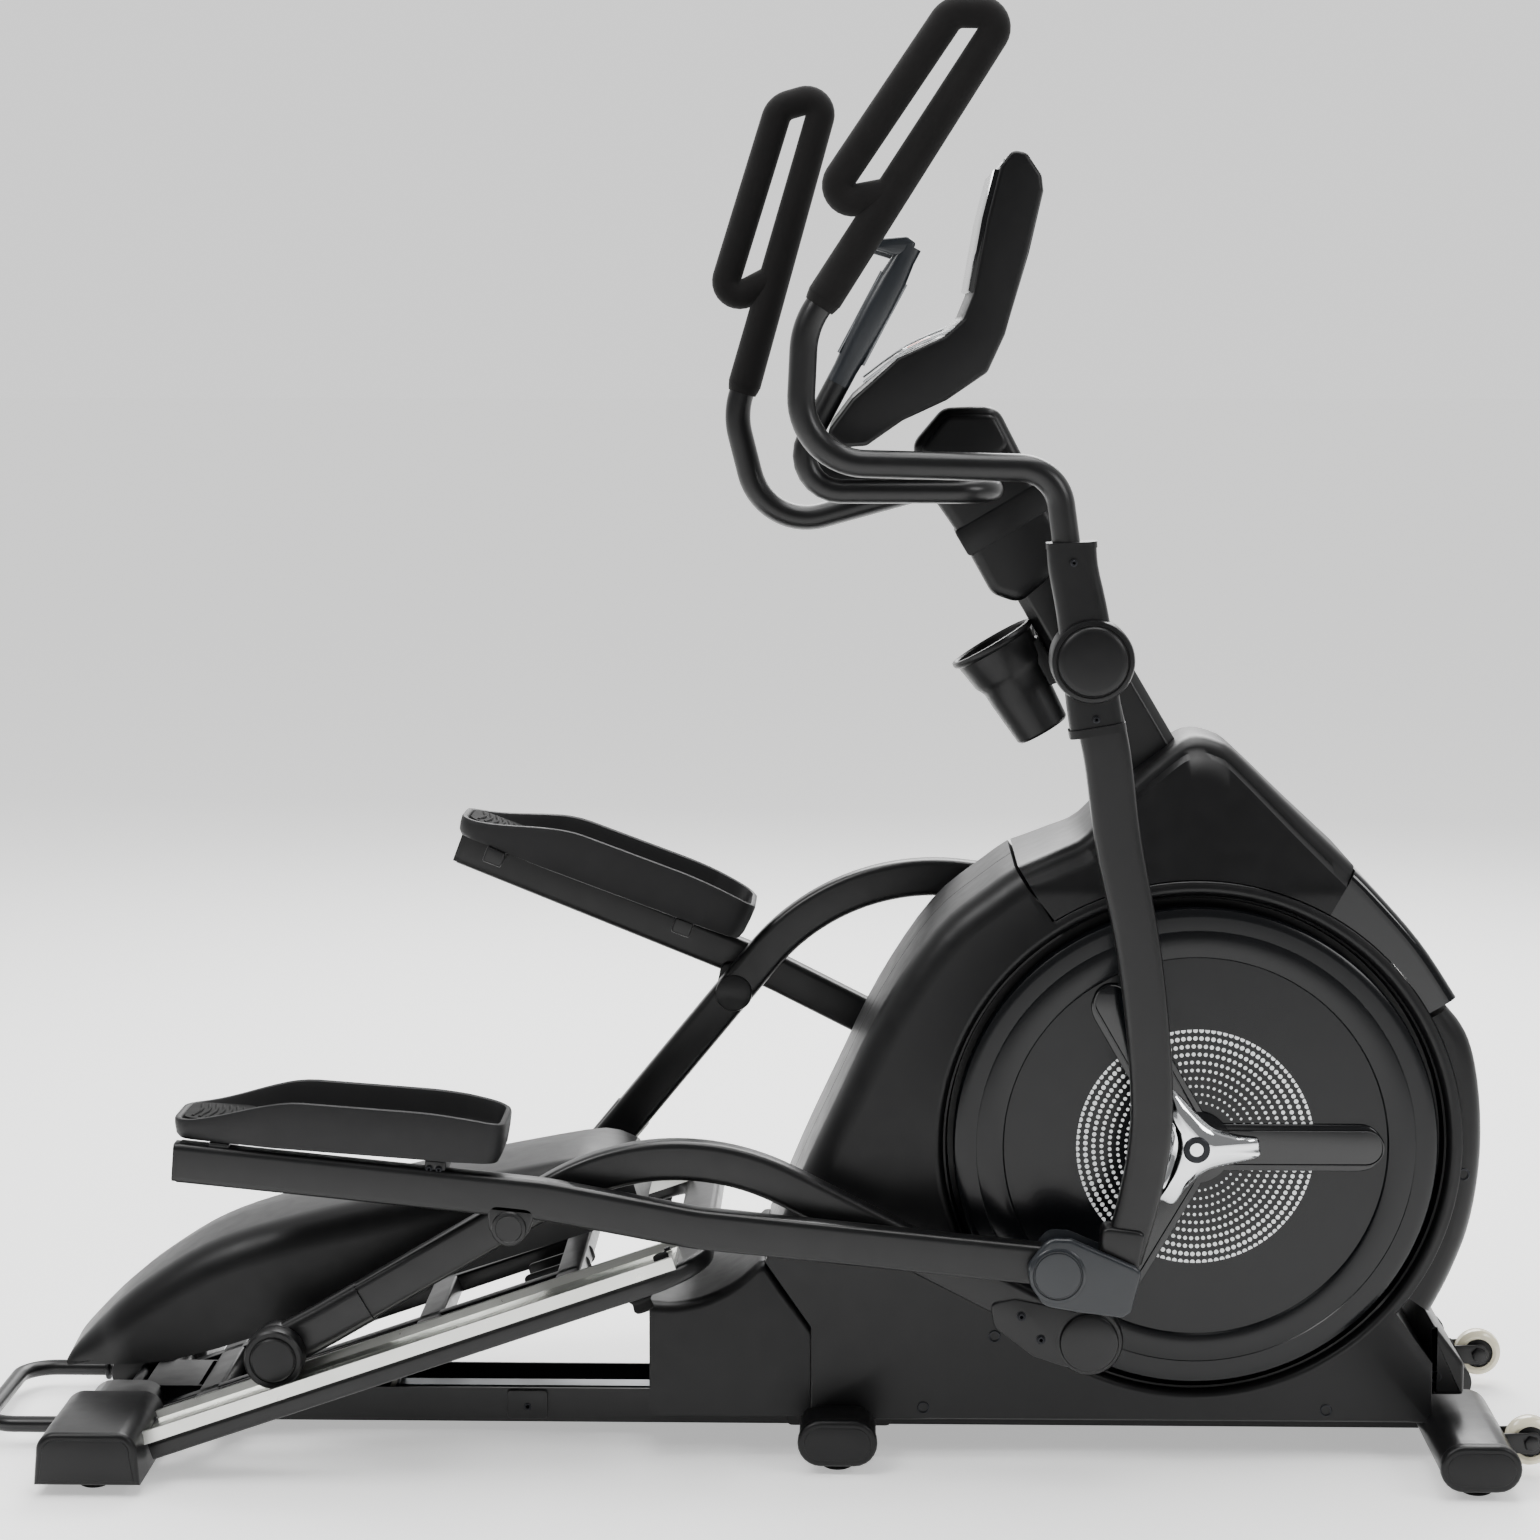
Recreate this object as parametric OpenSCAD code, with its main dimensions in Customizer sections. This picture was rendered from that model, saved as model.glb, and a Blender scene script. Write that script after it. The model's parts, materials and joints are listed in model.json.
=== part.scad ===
// Elliptical trainer with a front drive: a crank inside a round disc on each side pushes a
// roller link along an inclined track, and the pedal arm joins that link to the swing arm.
// +X is the drive end, -Y is the user's right, +Z is up, and the floor is Z = 0.

/* [Crank and linkage] */
// Crank centre forward of the origin
crank_x = 557; // [540:1:580]
// Crank centre above the floor
crank_z = 409; // [400:1:425]
// Crank throw, centre to crank pin
crank_r = 271; // [240:1:285]
// Angle of the right crank pin, from +X towards +Z
crank_angle = 240; // [230:1:250]
// Roller centre to crank pin, along the roller link
link_len = 1020; // [1000:1:1040]
// Pedal arm pivot on the roller link, along it from the roller
pivot_along = 302; // [280:1:320]
// Pedal arm pivot above the line from roller to crank pin
pivot_rise = 168; // [150:1:180]
// Pedal arm, from its pivot on the link to the swing arm
arm_len = 680; // [660:1:700]
// Swing arm, from its axle to the pedal arm
swing_len = 758; // [740:1:775]
// Swing arm axle forward of the origin
swing_x = 414; // [405:1:425]
// Swing arm axle above the floor
swing_z = 1034; // [1010:1:1050]

/* [Ramp] */
// Incline of the tracks
incline = 19; // [17:0.5:22]
// Ramp hinge behind the origin
ramp_back = 820; // [800:1:830]
// Ramp hinge above the floor
ramp_z = 45; // [42:1:50]
// Roller centres above the hinge, square to the track
roller_rise = 30; // [28:1:36]
// Rear end of the tracks, along the ramp
track_start = 50; // [45:1:70]
// Length of a track
track_len = 714; // [690:1:740]
// Width of a track
track_w = 96; // [80:1:100]
// Centre of a track from the middle of the machine
track_y = 240; // [232:1:245]
// Half width of the ramp hood
hood_half = 118; // [100:1:124]

/* [Rollers and tubes] */
// Roller radius
roller_r = 38; // [34:1:40]
// Roller width
roller_w = 32; // [26:1:34]
// Roller axle radius
axle_r = 10; // [8:1:12]
// Wall of the roller bush
bush_wall = 4; // [3:0.5:6]
// Depth of the roller link tube, seen from the side
link_h = 50; // [40:1:54]
// Width of the roller link tube
link_w = 34; // [28:1:34]
// Middle plane of the roller links
link_y = 210; // [209:1:211]
// Middle plane of the pedal arms and swing arms
arm_y = 262; // [262:1:266]
// Width of the pedal arm tube
arm_w = 34; // [28:1:34]
// Depth of the pedal arm tube, seen from the side
arm_h = 50; // [44:1:54]
// Width of the swing arm tube, seen from the side
swing_h = 56; // [48:1:60]
// Handlebar tube diameter
bar_d = 34; // [30:1:36]
// Foam grip diameter
foam_d = 42; // [39:1:46]
// Swing arm axle radius
swing_axle_r = 14; // [12:1:18]
// Pedal arm hinge pin radius
pin_r = 8; // [7:1:10]

/* [Crank discs] */
// Crank disc radius
disc_r = 305; // [290:1:308]
// Crank disc thickness
disc_t = 34; // [30:1:34]
// Radius of the raised ring on the disc
ring_r = 243; // [225:1:255]
// Crank axle radius
crank_axle_r = 15; // [12:0.5:18]

/* [Drive] */
// Drive pulley radius
pulley_r = 130; // [110:1:140]
// Flywheel pulley radius
small_pulley_r = 18; // [15:1:24]
// Flywheel radius
flywheel_r = 110; // [100:1:110]
// Flywheel centre forward of the crank
flywheel_dx = 190; // [180:1:192]
// Flywheel centre below the crank
flywheel_dz = 110; // [90:1:110]

/* [Base] */
// Width of the base beam
beam_w = 120; // [100:1:130]
// Underside of the base beam above the floor
beam_z = 15; // [13:1:18]
// Height of the base beam
beam_h = 45; // [42:1:50]
// Length of the foot tubes across the machine
foot_len = [640, 450, 620]; // [400:10:680]
// Foot tube width, along the machine
foot_w = 98; // [90:1:110]
// Foot tube height
foot_h = 56; // [50:1:60]
// Transport wheel radius
wheel_r = 32; // [28:1:35]
// Half of the rear foot cover's length
cover_half = 340; // [330:1:345]

/* [Upper body] */
// Lean of the mast from the floor
mast_lean = 59.3; // [57:0.1:62]
// Mast width, seen from the side
mast_h = 84; // [76:1:90]
// Mast thickness across the machine
mast_w = 52; // [46:1:60]
// Half width of the console
console_half = 190; // [170:1:205]
// Rim radius of the bottle holder
cup_r = 54; // [50:1:58]
// Depth of the bottle holder
cup_depth = 134; // [120:1:145]
// Pulse handlebar from the middle of the machine
pulse_y = 168; // [155:1:180]

/* [Pedals] */
// Pedal length
pedal_len = 414; // [390:1:430]
// Pedal width
pedal_w = 150; // [140:1:152]
// Height of the pedal's rim
pedal_rim = 62; // [50:1:70]

/* [Hidden] */
$fn = 64;
GAP = 0.3;
RUN = 0.05;
EPS = 0.1;
SIDES = ["right", "left"];
SIDE_NODES = ["roller_axle", "roller", "link_bush", "roller_link", "arm_bush", "pedal_arm",
              "pedal", "swing_arm", "grip", "joint_cover", "crank_disc", "transport_wheel",
              "housing"];

BLACK = "#1d1e20";
SHELL = "#222224";
FOAM = "#232224";
SILVER = "#c9cac5";
STEEL = "#8a8c8e";
GREY = "#3a3e44";
RUBBER = "#141414";

// Levels across the machine, from the middle outwards
HOUSE_Y = 155;
RECESS_Y = 124;
DISC_Y = RECESS_Y + 8;
DISC_FACE = DISC_Y + disc_t;
CHEEK_T = 4.5;
CHEEK_IN = arm_y - arm_w / 2 - 0.6 - CHEEK_T;
CHEEK_OUT = arm_y + arm_w / 2 + 0.6;
PIN_CAP_Y = CHEEK_IN - 1.4;
ROLLER_IN = link_y + link_w / 2 + 4;
FOOT_X = [-ramp_back, 107, 900];
FOOT_Z = 12;
BEAM_TOP = beam_z + beam_h;
TROUGH_Z = 37.5;

// Plane geometry: points are [x, z], angles run from +X towards +Z
function polar(r, a) = [r * cos(a), r * sin(a)];
function turned(p, a) = [p[0] * cos(a) - p[1] * sin(a), p[0] * sin(a) + p[1] * cos(a)];
function heading(d) = atan2(d[1], d[0]);
function arc(c, r, a, b, n) = [for (i = [0 : n]) c + polar(r, a + (b - a) * i / n)];

CRANK = [crank_x, crank_z];
SWING = [swing_x, swing_z];
HINGE = [-ramp_back, ramp_z];
ALONG = polar(1, incline);
SQUARE = polar(1, incline + 90);
function crank_pin(a) = CRANK + polar(crank_r, a);
// A roller lies on the track line, one link length behind its crank pin
function roller_s(pin) =
    let (d = HINGE + SQUARE * roller_rise - pin, b = d * ALONG)
    -b - sqrt(b * b - d * d + link_len * link_len);
function roller_at(pin) = HINGE + SQUARE * roller_rise + ALONG * roller_s(pin);
function link_angle(a) = heading(crank_pin(a) - roller_at(crank_pin(a)));
function pivot_at(a) = roller_at(crank_pin(a)) + turned([pivot_along, pivot_rise], link_angle(a));
// The lower end of the swing arm, where its circle meets the pedal arm's
function swing_end(q) =
    let (d = SWING - q, n = norm(d), m = (arm_len * arm_len - swing_len * swing_len + n * n) / (2 * n))
    q + d / n * m + [d[1], -d[0]] / n * sqrt(arm_len * arm_len - m * m);
function side_angle(s) = s < 0 ? crank_angle : crank_angle + 180;
function side_roller(s) = roller_at(crank_pin(side_angle(s)));
function side_pivot(s) = pivot_at(side_angle(s));
function side_end(s) = swing_end(side_pivot(s));
function arm_angle(s) = heading(side_end(s) - side_pivot(s));
// The swing arm's turn from hanging straight down
function swing_angle(s) = heading(side_end(s) - SWING) + 90;

// Puts a flat [x, z] shape upright, as a slab from y0 to y1 on side s
module slab(s, y0, y1) {
    translate([0, s < 0 ? -y0 : y1, 0]) rotate([90, 0, 0]) linear_extrude(y1 - y0) children();
}
module slab_mid(w) { slab(1, -w / 2, w / 2) children(); }
module disc(s, p, r, y0, y1) { slab(s, y0, y1) translate(p) circle(r); }
// Puts a run drawn in [x, z] upright at y
module upright(y) { translate([0, y, 0]) rotate([90, 0, 0]) children(); }
module place(p, a) { translate([p[0], 0, p[1]]) rotate([0, -a, 0]) children(); }
module on_ramp() { place(HINGE, incline) children(); }

// Straight stretches of a path joined by bends of radius r[i]
BEND_STEPS = 5;
function run_dir(p, i) = (p[i + 1] - p[i]) / norm(p[i + 1] - p[i]);
function run_turn(p, i) =
    let (u = run_dir(p, i - 1), v = run_dir(p, i)) atan2(u[0] * v[1] - u[1] * v[0], u * v);
function bend(p, r, i) =
    let (d = run_dir(p, i - 1), t = run_turn(p, i), out = [d[1], -d[0]] * sign(t) * r[i],
         centre = p[i] - d * r[i] * tan(abs(t) / 2) - out)
    [for (k = [0 : BEND_STEPS]) centre + turned(out, t * k / BEND_STEPS)];
function bent(p, r) =
    concat([p[0]], [for (i = [1 : 1 : len(p) - 2]) each bend(p, r, i)], [p[len(p) - 1]]);
function round_section(d, n = 16) = [for (k = [0 : n - 1]) polar(d / 2, 360 * k / n)];
function box_section(h, w) = [[h / 2, w / 2], [-h / 2, w / 2], [-h / 2, -w / 2], [h / 2, -w / 2]];
function ring(q, i, section) =
    let (a = heading(q[min(i + 1, len(q) - 1)] - q[max(i - 1, 0)]))
    [for (c = section) [q[i][0] - sin(a) * c[0], q[i][1] + cos(a) * c[0], c[1]]];

// Sweeps the outer section along a bent path, hollow where an inner section is given
module sweep(p, r, outer, inner = []) {
    q = bent(p, r);
    n = len(outer);
    last = (len(q) - 1) * n;
    skin = len(q) * n;
    points = concat([for (i = [0 : len(q) - 1]) each ring(q, i, outer)],
                    [for (i = [0 : len(q) - 1]) each ring(q, i, inner)]);
    sides = [for (i = [0 : len(q) - 2]) for (j = [0 : n - 1])
        let (a = i * n + j, b = i * n + (j + 1) % n) each [[a, b + n, b], [a, a + n, b + n]]];
    walls = len(inner) == 0 ? [] : [for (f = sides) [f[2] + skin, f[1] + skin, f[0] + skin]];
    ends = len(inner) == 0
        ? [[for (j = [0 : n - 1]) j], [for (j = [n - 1 : -1 : 0]) last + j]]
        : [for (j = [0 : n - 1]) let (k = (j + 1) % n)
               each [[j, k, skin + j], [k, skin + k, skin + j],
                     [last + k, last + j, last + skin + k], [last + j, last + skin + j, last + skin + k]]];
    polyhedron(points, concat(sides, walls, ends));
}
module pipe_run(p, r, d, wall) { sweep(p, r, round_section(d), round_section(d - 2 * wall)); }
module box_run(p, r, h, w, wall) { sweep(p, r, box_section(h, w), box_section(h - 2 * wall, w - 2 * wall)); }
module rod_run(p, r, d) { sweep(p, r, round_section(d)); }
module obround(l, w) {
    square([l - w, w], center = true);
    for (k = [-1, 1]) translate([k * (l - w) / 2, 0]) circle(w / 2);
}

// ---- Base ----
module foot_shape(grow = 0) { obround(foot_w + grow, foot_h + grow); }
module foot_bar(i, len, grow = 0) {
    translate([FOOT_X[i], len / 2, FOOT_Z + foot_h / 2]) rotate([90, 0, 0])
        linear_extrude(len) foot_shape(grow);
}
POST_FOOT = [430, BEAM_TOP];
POST_W = 50;
BRACKET_Y = 38;
FLY = CRANK + [flywheel_dx, -flywheel_dz];
MAST_UP = polar(1, 180 - mast_lean);
MAST_LOW = SWING - MAST_UP * 240;
MAST_TOP = SWING + MAST_UP * 330;
BEARING_L = 70;
BEARING_R = 32;
// Outer face of the hinge ears, and the half width of the way left for the ramp's hinge arms
EAR_Y = 72;
HINGE_GAP = 109;
WHEEL = [978, 44];
WHEEL_Y = 200;
WHEEL_AXLE_R = 6;

module base_frame() color(BLACK) difference() {
    union() {
        translate([FOOT_X[0] - 18, -beam_w / 2, beam_z]) cube([FOOT_X[2] - FOOT_X[0] + 18, beam_w, beam_h]);
        // Post from the beam up to the mast, with the crank's bearing tube held by a web
        slab_mid(POST_W) polygon([POST_FOOT + [0, -5], POST_FOOT + [70, -5], MAST_LOW + [-10, 30],
                                  MAST_LOW + [-70, -5]]);
        slab_mid(12) polygon([[POST_FOOT[0] + 50, crank_z - 60], [crank_x, crank_z - 30],
                              [crank_x, crank_z + 30], [POST_FOOT[0] + 50, crank_z + 70]]);
        disc(1, CRANK, BEARING_R, -BEARING_L / 2, BEARING_L / 2);
        // Ears that hold the flywheel axle
        for (s = [-1, 1]) slab(s, BRACKET_Y, BRACKET_Y + 5)
            polygon([[FLY[0] - 40, BEAM_TOP - 5], [FLY[0] + 40, BEAM_TOP - 5],
                     FLY + [16, 20], FLY + [-16, 20]]);
        // Ears that hold the ramp's hinge pin
        for (s = [-1, 1]) slab(s, EAR_Y - 6, EAR_Y) translate(HINGE) circle(20);
        translate([HINGE[0] - 30, -EAR_Y, beam_z]) cube([60, 2 * EAR_Y, 16]);
    }
    // Trough for the lift rollers, with a slot between its flanges
    translate([FOOT_X[0] + 90, -beam_w / 2 + 4, TROUGH_Z]) cube([790, beam_w - 8, beam_h]);
    translate([FOOT_X[0] + 90, -beam_w / 2 + 4, beam_z + 4]) cube([790, beam_w - 8, TROUGH_Z - beam_z - 8]);
    translate([40, -beam_w / 2 + 4, beam_z + 4]) cube([820, beam_w - 8, beam_h - 8]);
    disc(1, CRANK, BEARING_R - 6, -BEARING_L, BEARING_L);
    disc(1, FLY, 8 + RUN, -60, 60);
    disc(1, HINGE, 9 + RUN, -80, 80);
    // The ramp's cross tube swings in the gap behind the rear foot's hinge
    disc(1, HINGE, 24, -65, 65);
}

module foot_tubes() color(BLACK) {
    for (i = [0 : 2]) difference() {
        translate([FOOT_X[i], foot_len[i] / 2, FOOT_Z + foot_h / 2]) rotate([90, 0, 0])
            linear_extrude(foot_len[i]) difference() {
                foot_shape(-GAP);
                obround(foot_w - 6, foot_h - 6);
            }
        // Each foot is two stubs welded to the beam's sides
        translate([FOOT_X[i] - foot_w, -beam_w / 2 - GAP, 0]) cube([2 * foot_w, beam_w + 2 * GAP, 100]);
        // The rear foot is cut back where the ramp hinge and its ears turn
        if (i == 0) disc(1, HINGE, 34, -HINGE_GAP, HINGE_GAP);
        if (i == 0) translate([FOOT_X[0] - 60, -HINGE_GAP, ramp_z]) cube([120, 2 * HINGE_GAP, 60]);
        if (i == 0) translate([FOOT_X[0] - 31, -EAR_Y - GAP, 0]) cube([62, 2 * (EAR_Y + GAP), 100]);
        if (i == 0) for (s = [-1, 1]) slab(s, HINGE_GAP - 28, HINGE_GAP) translate([FOOT_X[0] - 34, 0]) square([foot_w, 100]);
        // The front foot is cut back round the transport wheels
        if (i == 2) for (s = [-1, 1]) disc(s, WHEEL, wheel_r + 3, WHEEL_Y - 15, WHEEL_Y + 15);
    }
    for (s = [-1, 1]) difference() {
        translate([FOOT_X[2] + foot_w / 2 - 8, s * WHEEL_Y - 22, 26]) cube([58, 44, 30]);
        translate([FOOT_X[2] + foot_w / 2 + 2, s * WHEEL_Y - 16, 10]) cube([60, 32, 60]);
        disc(s, WHEEL, wheel_r + 3, WHEEL_Y - 15, WHEEL_Y + 15);
        foot_bar(2, 500, -GAP);
    }
    for (s = [-1, 1]) disc(s, WHEEL, WHEEL_AXLE_R, WHEEL_Y - 22, WHEEL_Y + 22);
}

module rear_foot_cover() color(SHELL) difference() {
    translate([FOOT_X[0], cover_half, 0]) rotate([90, 0, 0]) linear_extrude(2 * cover_half)
        polygon(concat([[-66, FOOT_Z + 2], [-62, 58]], arc([-40, 58], 22, 170, 100, 5),
                       arc([40, 58], 22, 80, 10, 5), [[66, FOOT_Z + 2]]));
    // Hollow over the foot tube
    translate([FOOT_X[0], cover_half - 5, 0]) rotate([90, 0, 0]) linear_extrude(2 * cover_half - 10)
        translate([0, FOOT_Z + foot_h / 2]) obround(foot_w + 4, foot_h + 4);
    translate([FOOT_X[0] - foot_w / 2, -cover_half + 5, FOOT_Z]) cube([foot_w, 2 * cover_half - 10, foot_h / 2]);
    // Opening in the middle for the beam and the ramp's hinge
    translate([FOOT_X[0] - 80, -150, 0]) cube([160, 300, 200]);
    // Clear of the tracks and the ramp's side tubes as the ramp tilts
    for (s = [-1, 1]) slab(s, track_y - track_w / 2 - 3, SIDE_Y + SIDE_W / 2 + 6)
        translate([FOOT_X[0] + 24, 0]) square([60, 100]);
}

HANDLE_D = 21;
HANDLE_HALF = 130;
TAIL = WHEEL[0] + wheel_r;
module rear_handle() color(BLACK) {
    h = HANDLE_HALF;
    root = -foot_w / 2 + 2;
    back = TAIL - HANDLE_D / 2 - ramp_back;
    translate([FOOT_X[0], 0, FOOT_Z + 16]) difference() {
        pipe_run([[root, -h], [-back, -h], [-back, h], [root, h]], [0, 45, 45, 0], HANDLE_D, 2.5);
        translate([-(foot_w - foot_h) / 2, 200, foot_h / 2 - 16]) rotate([90, 0, 0])
            linear_extrude(400) circle(foot_h / 2);
    }
}

module foot_caps() color(SHELL)
    for (i = [1, 2]) for (s = [-1, 1]) {
        y0 = foot_len[i] / 2 + EPS;
        translate([FOOT_X[i], s < 0 ? -y0 : y0 + 6, FOOT_Z + foot_h / 2]) rotate([90, 0, 0])
            linear_extrude(6) obround(foot_w + 3, foot_h + 3);
    }

PAD_R = 18;
function pad_y(i) = foot_len[i] / 2 - 32;
module levelling_feet() color(RUBBER)
    for (i = [0 : 2]) for (s = [-1, 1]) translate([FOOT_X[i], s * pad_y(i), 0]) {
        cylinder(r = PAD_R, h = 8);
        translate([0, 0, 8]) cylinder(r = 11, h = FOOT_Z - 8);
        translate([0, 0, FOOT_Z - EPS]) cylinder(r = 5, h = EPS + 0.2);
    }

module transport_wheel(s) color(SILVER) difference() {
    disc(s, WHEEL, wheel_r, WHEEL_Y - 12, WHEEL_Y + 12);
    disc(s, WHEEL, WHEEL_AXLE_R + RUN, WHEEL_Y - 20, WHEEL_Y + 20);
    for (k = [0 : 5]) disc(s, WHEEL + polar(wheel_r * 0.62, 60 * k), 5, WHEEL_Y - 20, WHEEL_Y + 20);
}

// ---- Mast ----
MAST_LEN = norm(MAST_TOP - MAST_LOW);
module along_mast(from) { place(SWING + MAST_UP * from, 180 - mast_lean - 90) children(); }
module mast() color(BLACK) difference() {
    union() {
        along_mast(-240) linear_extrude(MAST_LEN) obround(mast_h, mast_w);
        disc(1, SWING, 32, -205, 205);
        for (s = [-1, 1]) disc(s, SWING, 48, 205, 226);
        for (s = [-1, 1]) disc(s, SWING, swing_axle_r, 226, arm_y + 20);
    }
    along_mast(-240 - 1) linear_extrude(210) obround(mast_h - 6, mast_w - 6);
    along_mast(40) linear_extrude(300) obround(mast_h - 6, mast_w - 6);
    slab_mid(POST_W + GAP) polygon([POST_FOOT, POST_FOOT + [70, 0], MAST_LOW + [-10, 30], MAST_LOW + [-70, -5]]);
}

module mast_cover() color(SHELL) difference() {
    slab_mid(mast_w + 36) polygon([for (p = [[84, -42], [112, -68], [196, -66], [280, -72], [334, -58],
        [352, 0], [318, 62], [190, 54], [100, 50]]) SWING + MAST_UP * p[0] + [MAST_UP[1], -MAST_UP[0]] * p[1]]);
    along_mast(60) linear_extrude(270 + GAP) obround(mast_h + GAP, mast_w + GAP);
    for (s = [-1, 1]) disc(s, PULSE_ROOT, 17 + GAP, 0, 80);
}

function cup_point(t, off) = SWING + MAST_UP * t - [MAST_UP[1], -MAST_UP[0]] * off;
CUP_OFF = mast_h / 2 + cup_r + 2;
module bottle_holder() color(SHELL) difference() {
    union() {
        place(cup_point(-76, CUP_OFF), 90 - mast_lean) cylinder(r1 = cup_r * 0.68, r2 = cup_r, h = cup_depth, $fn = 96);
        place(cup_point(-76 + cup_depth - 8, CUP_OFF), 90 - mast_lean) cylinder(r = cup_r + 4, h = 8, $fn = 96);
        // Bracket to the mast
        place(cup_point(-30, CUP_OFF - cup_r * 0.7), 90 - mast_lean)
            translate([0, -17, 0]) cube([cup_r * 0.7 + 2 - GAP, 34, 60]);
    }
    place(cup_point(-72, CUP_OFF), 90 - mast_lean) cylinder(r1 = cup_r * 0.68 - 3, r2 = cup_r - 3, h = cup_depth + 1, $fn = 96);
    along_mast(-240) linear_extrude(MAST_LEN) obround(mast_h + GAP, mast_w + GAP);
}

// ---- Console and the fixed handlebar ----
PULSE_ROOT = SWING + MAST_UP * 232;
PULSE_D = 30;
PULSE_BEND = 50;
PULSE_DIR = polar(1, 62);
PULSE_TURN = PULSE_ROOT + [-262, 0];
PULSE_END = PULSE_TURN + PULSE_DIR * 150;
PULSE_RUN = [PULSE_ROOT + [-PULSE_BEND, 0], PULSE_TURN, PULSE_END];
PULSE_BENDS = [0, 62, 0];
module pulse_bar() color(BLACK) difference() {
    union() {
        translate([PULSE_ROOT[0], 0, PULSE_ROOT[1]])
            rod_run([[-PULSE_BEND - 1, -pulse_y], [0, -pulse_y], [0, pulse_y], [-PULSE_BEND - 1, pulse_y]],
                    [0, PULSE_BEND, PULSE_BEND, 0], PULSE_D);
        for (s = [-1, 1]) upright(s * pulse_y)
            rod_run(PULSE_RUN, PULSE_BENDS, PULSE_D - 0.6);
    }
    along_mast(60) linear_extrude(270) obround(mast_h + GAP, mast_w + GAP);
}

module pulse_grips() color(GREY) for (s = [-1, 1]) upright(s * pulse_y) {
    rod_run([PULSE_END, PULSE_END + PULSE_DIR * 190], [0, 0], 34);
    // Winged stop at the top of each grip
    translate(PULSE_END + PULSE_DIR * 186) rotate(heading(PULSE_DIR)) translate([-42, -20, -12]) cube([54, 16, 24]);
}

SCREEN = [[-125, -22], [-104, -38], [-74, -36], [-30, -5], [24, 20], [74, 54], [95, 100], [122, 198],
          [140, 275], [138, 293], [120, 320], [103, 324]];
FACE = [[88, 305], [72, 240], [56, 150], [44, 120], [20, 98], [-36, 72], [-92, 22], [-125, -22]];
CONSOLE = MAST_TOP + [-32, 8];
module at_console() { translate([CONSOLE[0], 0, CONSOLE[1]]) children(); }
module console_shell() color(SHELL) difference() {
    at_console() slab_mid(2 * console_half) polygon(concat(SCREEN, FACE));
    at_console() slab_mid(2 * console_half - 8)
        polygon([[-100, -18], [-30, 6], [18, 30], [66, 62], [86, 104], [112, 200], [130, 276], [118, 300],
                 [104, 306], [78, 238], [62, 144], [50, 112], [24, 90], [-32, 62], [-84, 16]]);
    at_console() for (k = KEYS) key_at(k[0]) translate([0, 0, -16]) cylinder(r = k[1] + 0.4, h = 30);
    along_mast(60) linear_extrude(262) obround(mast_h + GAP, mast_w + GAP);
    for (s = [-1, 1]) upright(s * pulse_y) rod_run(PULSE_RUN, PULSE_BENDS, PULSE_D + 1);
}

// The display glass and its keypad lie on the console's front
module console_face() color("#0b0c0e") at_console() slab_mid(2 * console_half - 24)
    polygon([[84.5, 300], [69.5, 240], [54, 152], [50.5, 153], [66, 241], [81, 301]]);

// Keys stand on the sloping keypad, at a distance across the machine
KEYS = [[-45, 15], [45, 15]];
KEY_SLOPE = heading([56, 26]);
module key_at(y) { translate([-8, y, 85]) rotate([0, -KEY_SLOPE, 0]) children(); }
module key(i) {
    at_console() key_at(KEYS[i][0]) {
        translate([0, 0, -6]) cylinder(r = KEYS[i][1], h = 10);
    }
}
module start_key() color("#b9bbbd") key(0);
module stop_key() color("#d8622a") key(1);

// ---- Housing ----
SHELL_R = 336;
REAR_R = 424;
SHELL_T = 4;
SEAM_X = 72;
HOUSE_Z = 50;
module house_outline() {
    polygon(concat(arc(CRANK, REAR_R, 122, 158, 12),
        [[58, 362], [14, 254], [SEAM_X, 170], [SEAM_X, HOUSE_Z], [862, HOUSE_Z], [862, 128]],
        arc(CRANK, SHELL_R, -44, 122, 40)));
}
module house_void() { offset(delta = -SHELL_T) house_outline(); }
module housing(s) color(SHELL) difference() {
    slab(s, GAP, HOUSE_Y) house_outline();
    difference() {
        slab(s, -1, HOUSE_Y - SHELL_T) house_void();
        disc(s, CRANK, disc_r + 14, RECESS_Y - SHELL_T, HOUSE_Y);
    }
    disc(s, CRANK, disc_r + 10, RECESS_Y, HOUSE_Y + 1);
    disc(s, CRANK, crank_axle_r + 8, 0, HOUSE_Y);
    // Open underneath, and open to the neighbouring covers
    slab(s, -1, HOUSE_Y - 20) translate([SEAM_X + 6, HOUSE_Z - 1]) square([780, 12]);
    slab(s, -1, HOUSE_Y - 20) polygon([[0, 240], [SEAM_X + 10, 160], [SEAM_X + 10, 40], [SEAM_X - 20, 40]]);
    slab(s, -1, RECESS_Y - 30) polygon([CRANK + polar(300, 60), CRANK + polar(380, 60),
        CRANK + polar(REAR_R - 20, 118), CRANK + polar(300, 118)]);
    // Clear of the cowl, the feet and the beam
    slab(s, -1, HOUSE_Y + 1) offset(delta = GAP) cowl_outline();
    for (i = [1, 2]) foot_bar(i, 2 * HOUSE_Y + 10, 2 * GAP);
    slab(s, -1, beam_w / 2 + GAP) translate([SEAM_X - 10, 0]) square([900, BEAM_TOP + GAP]);
}

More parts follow.
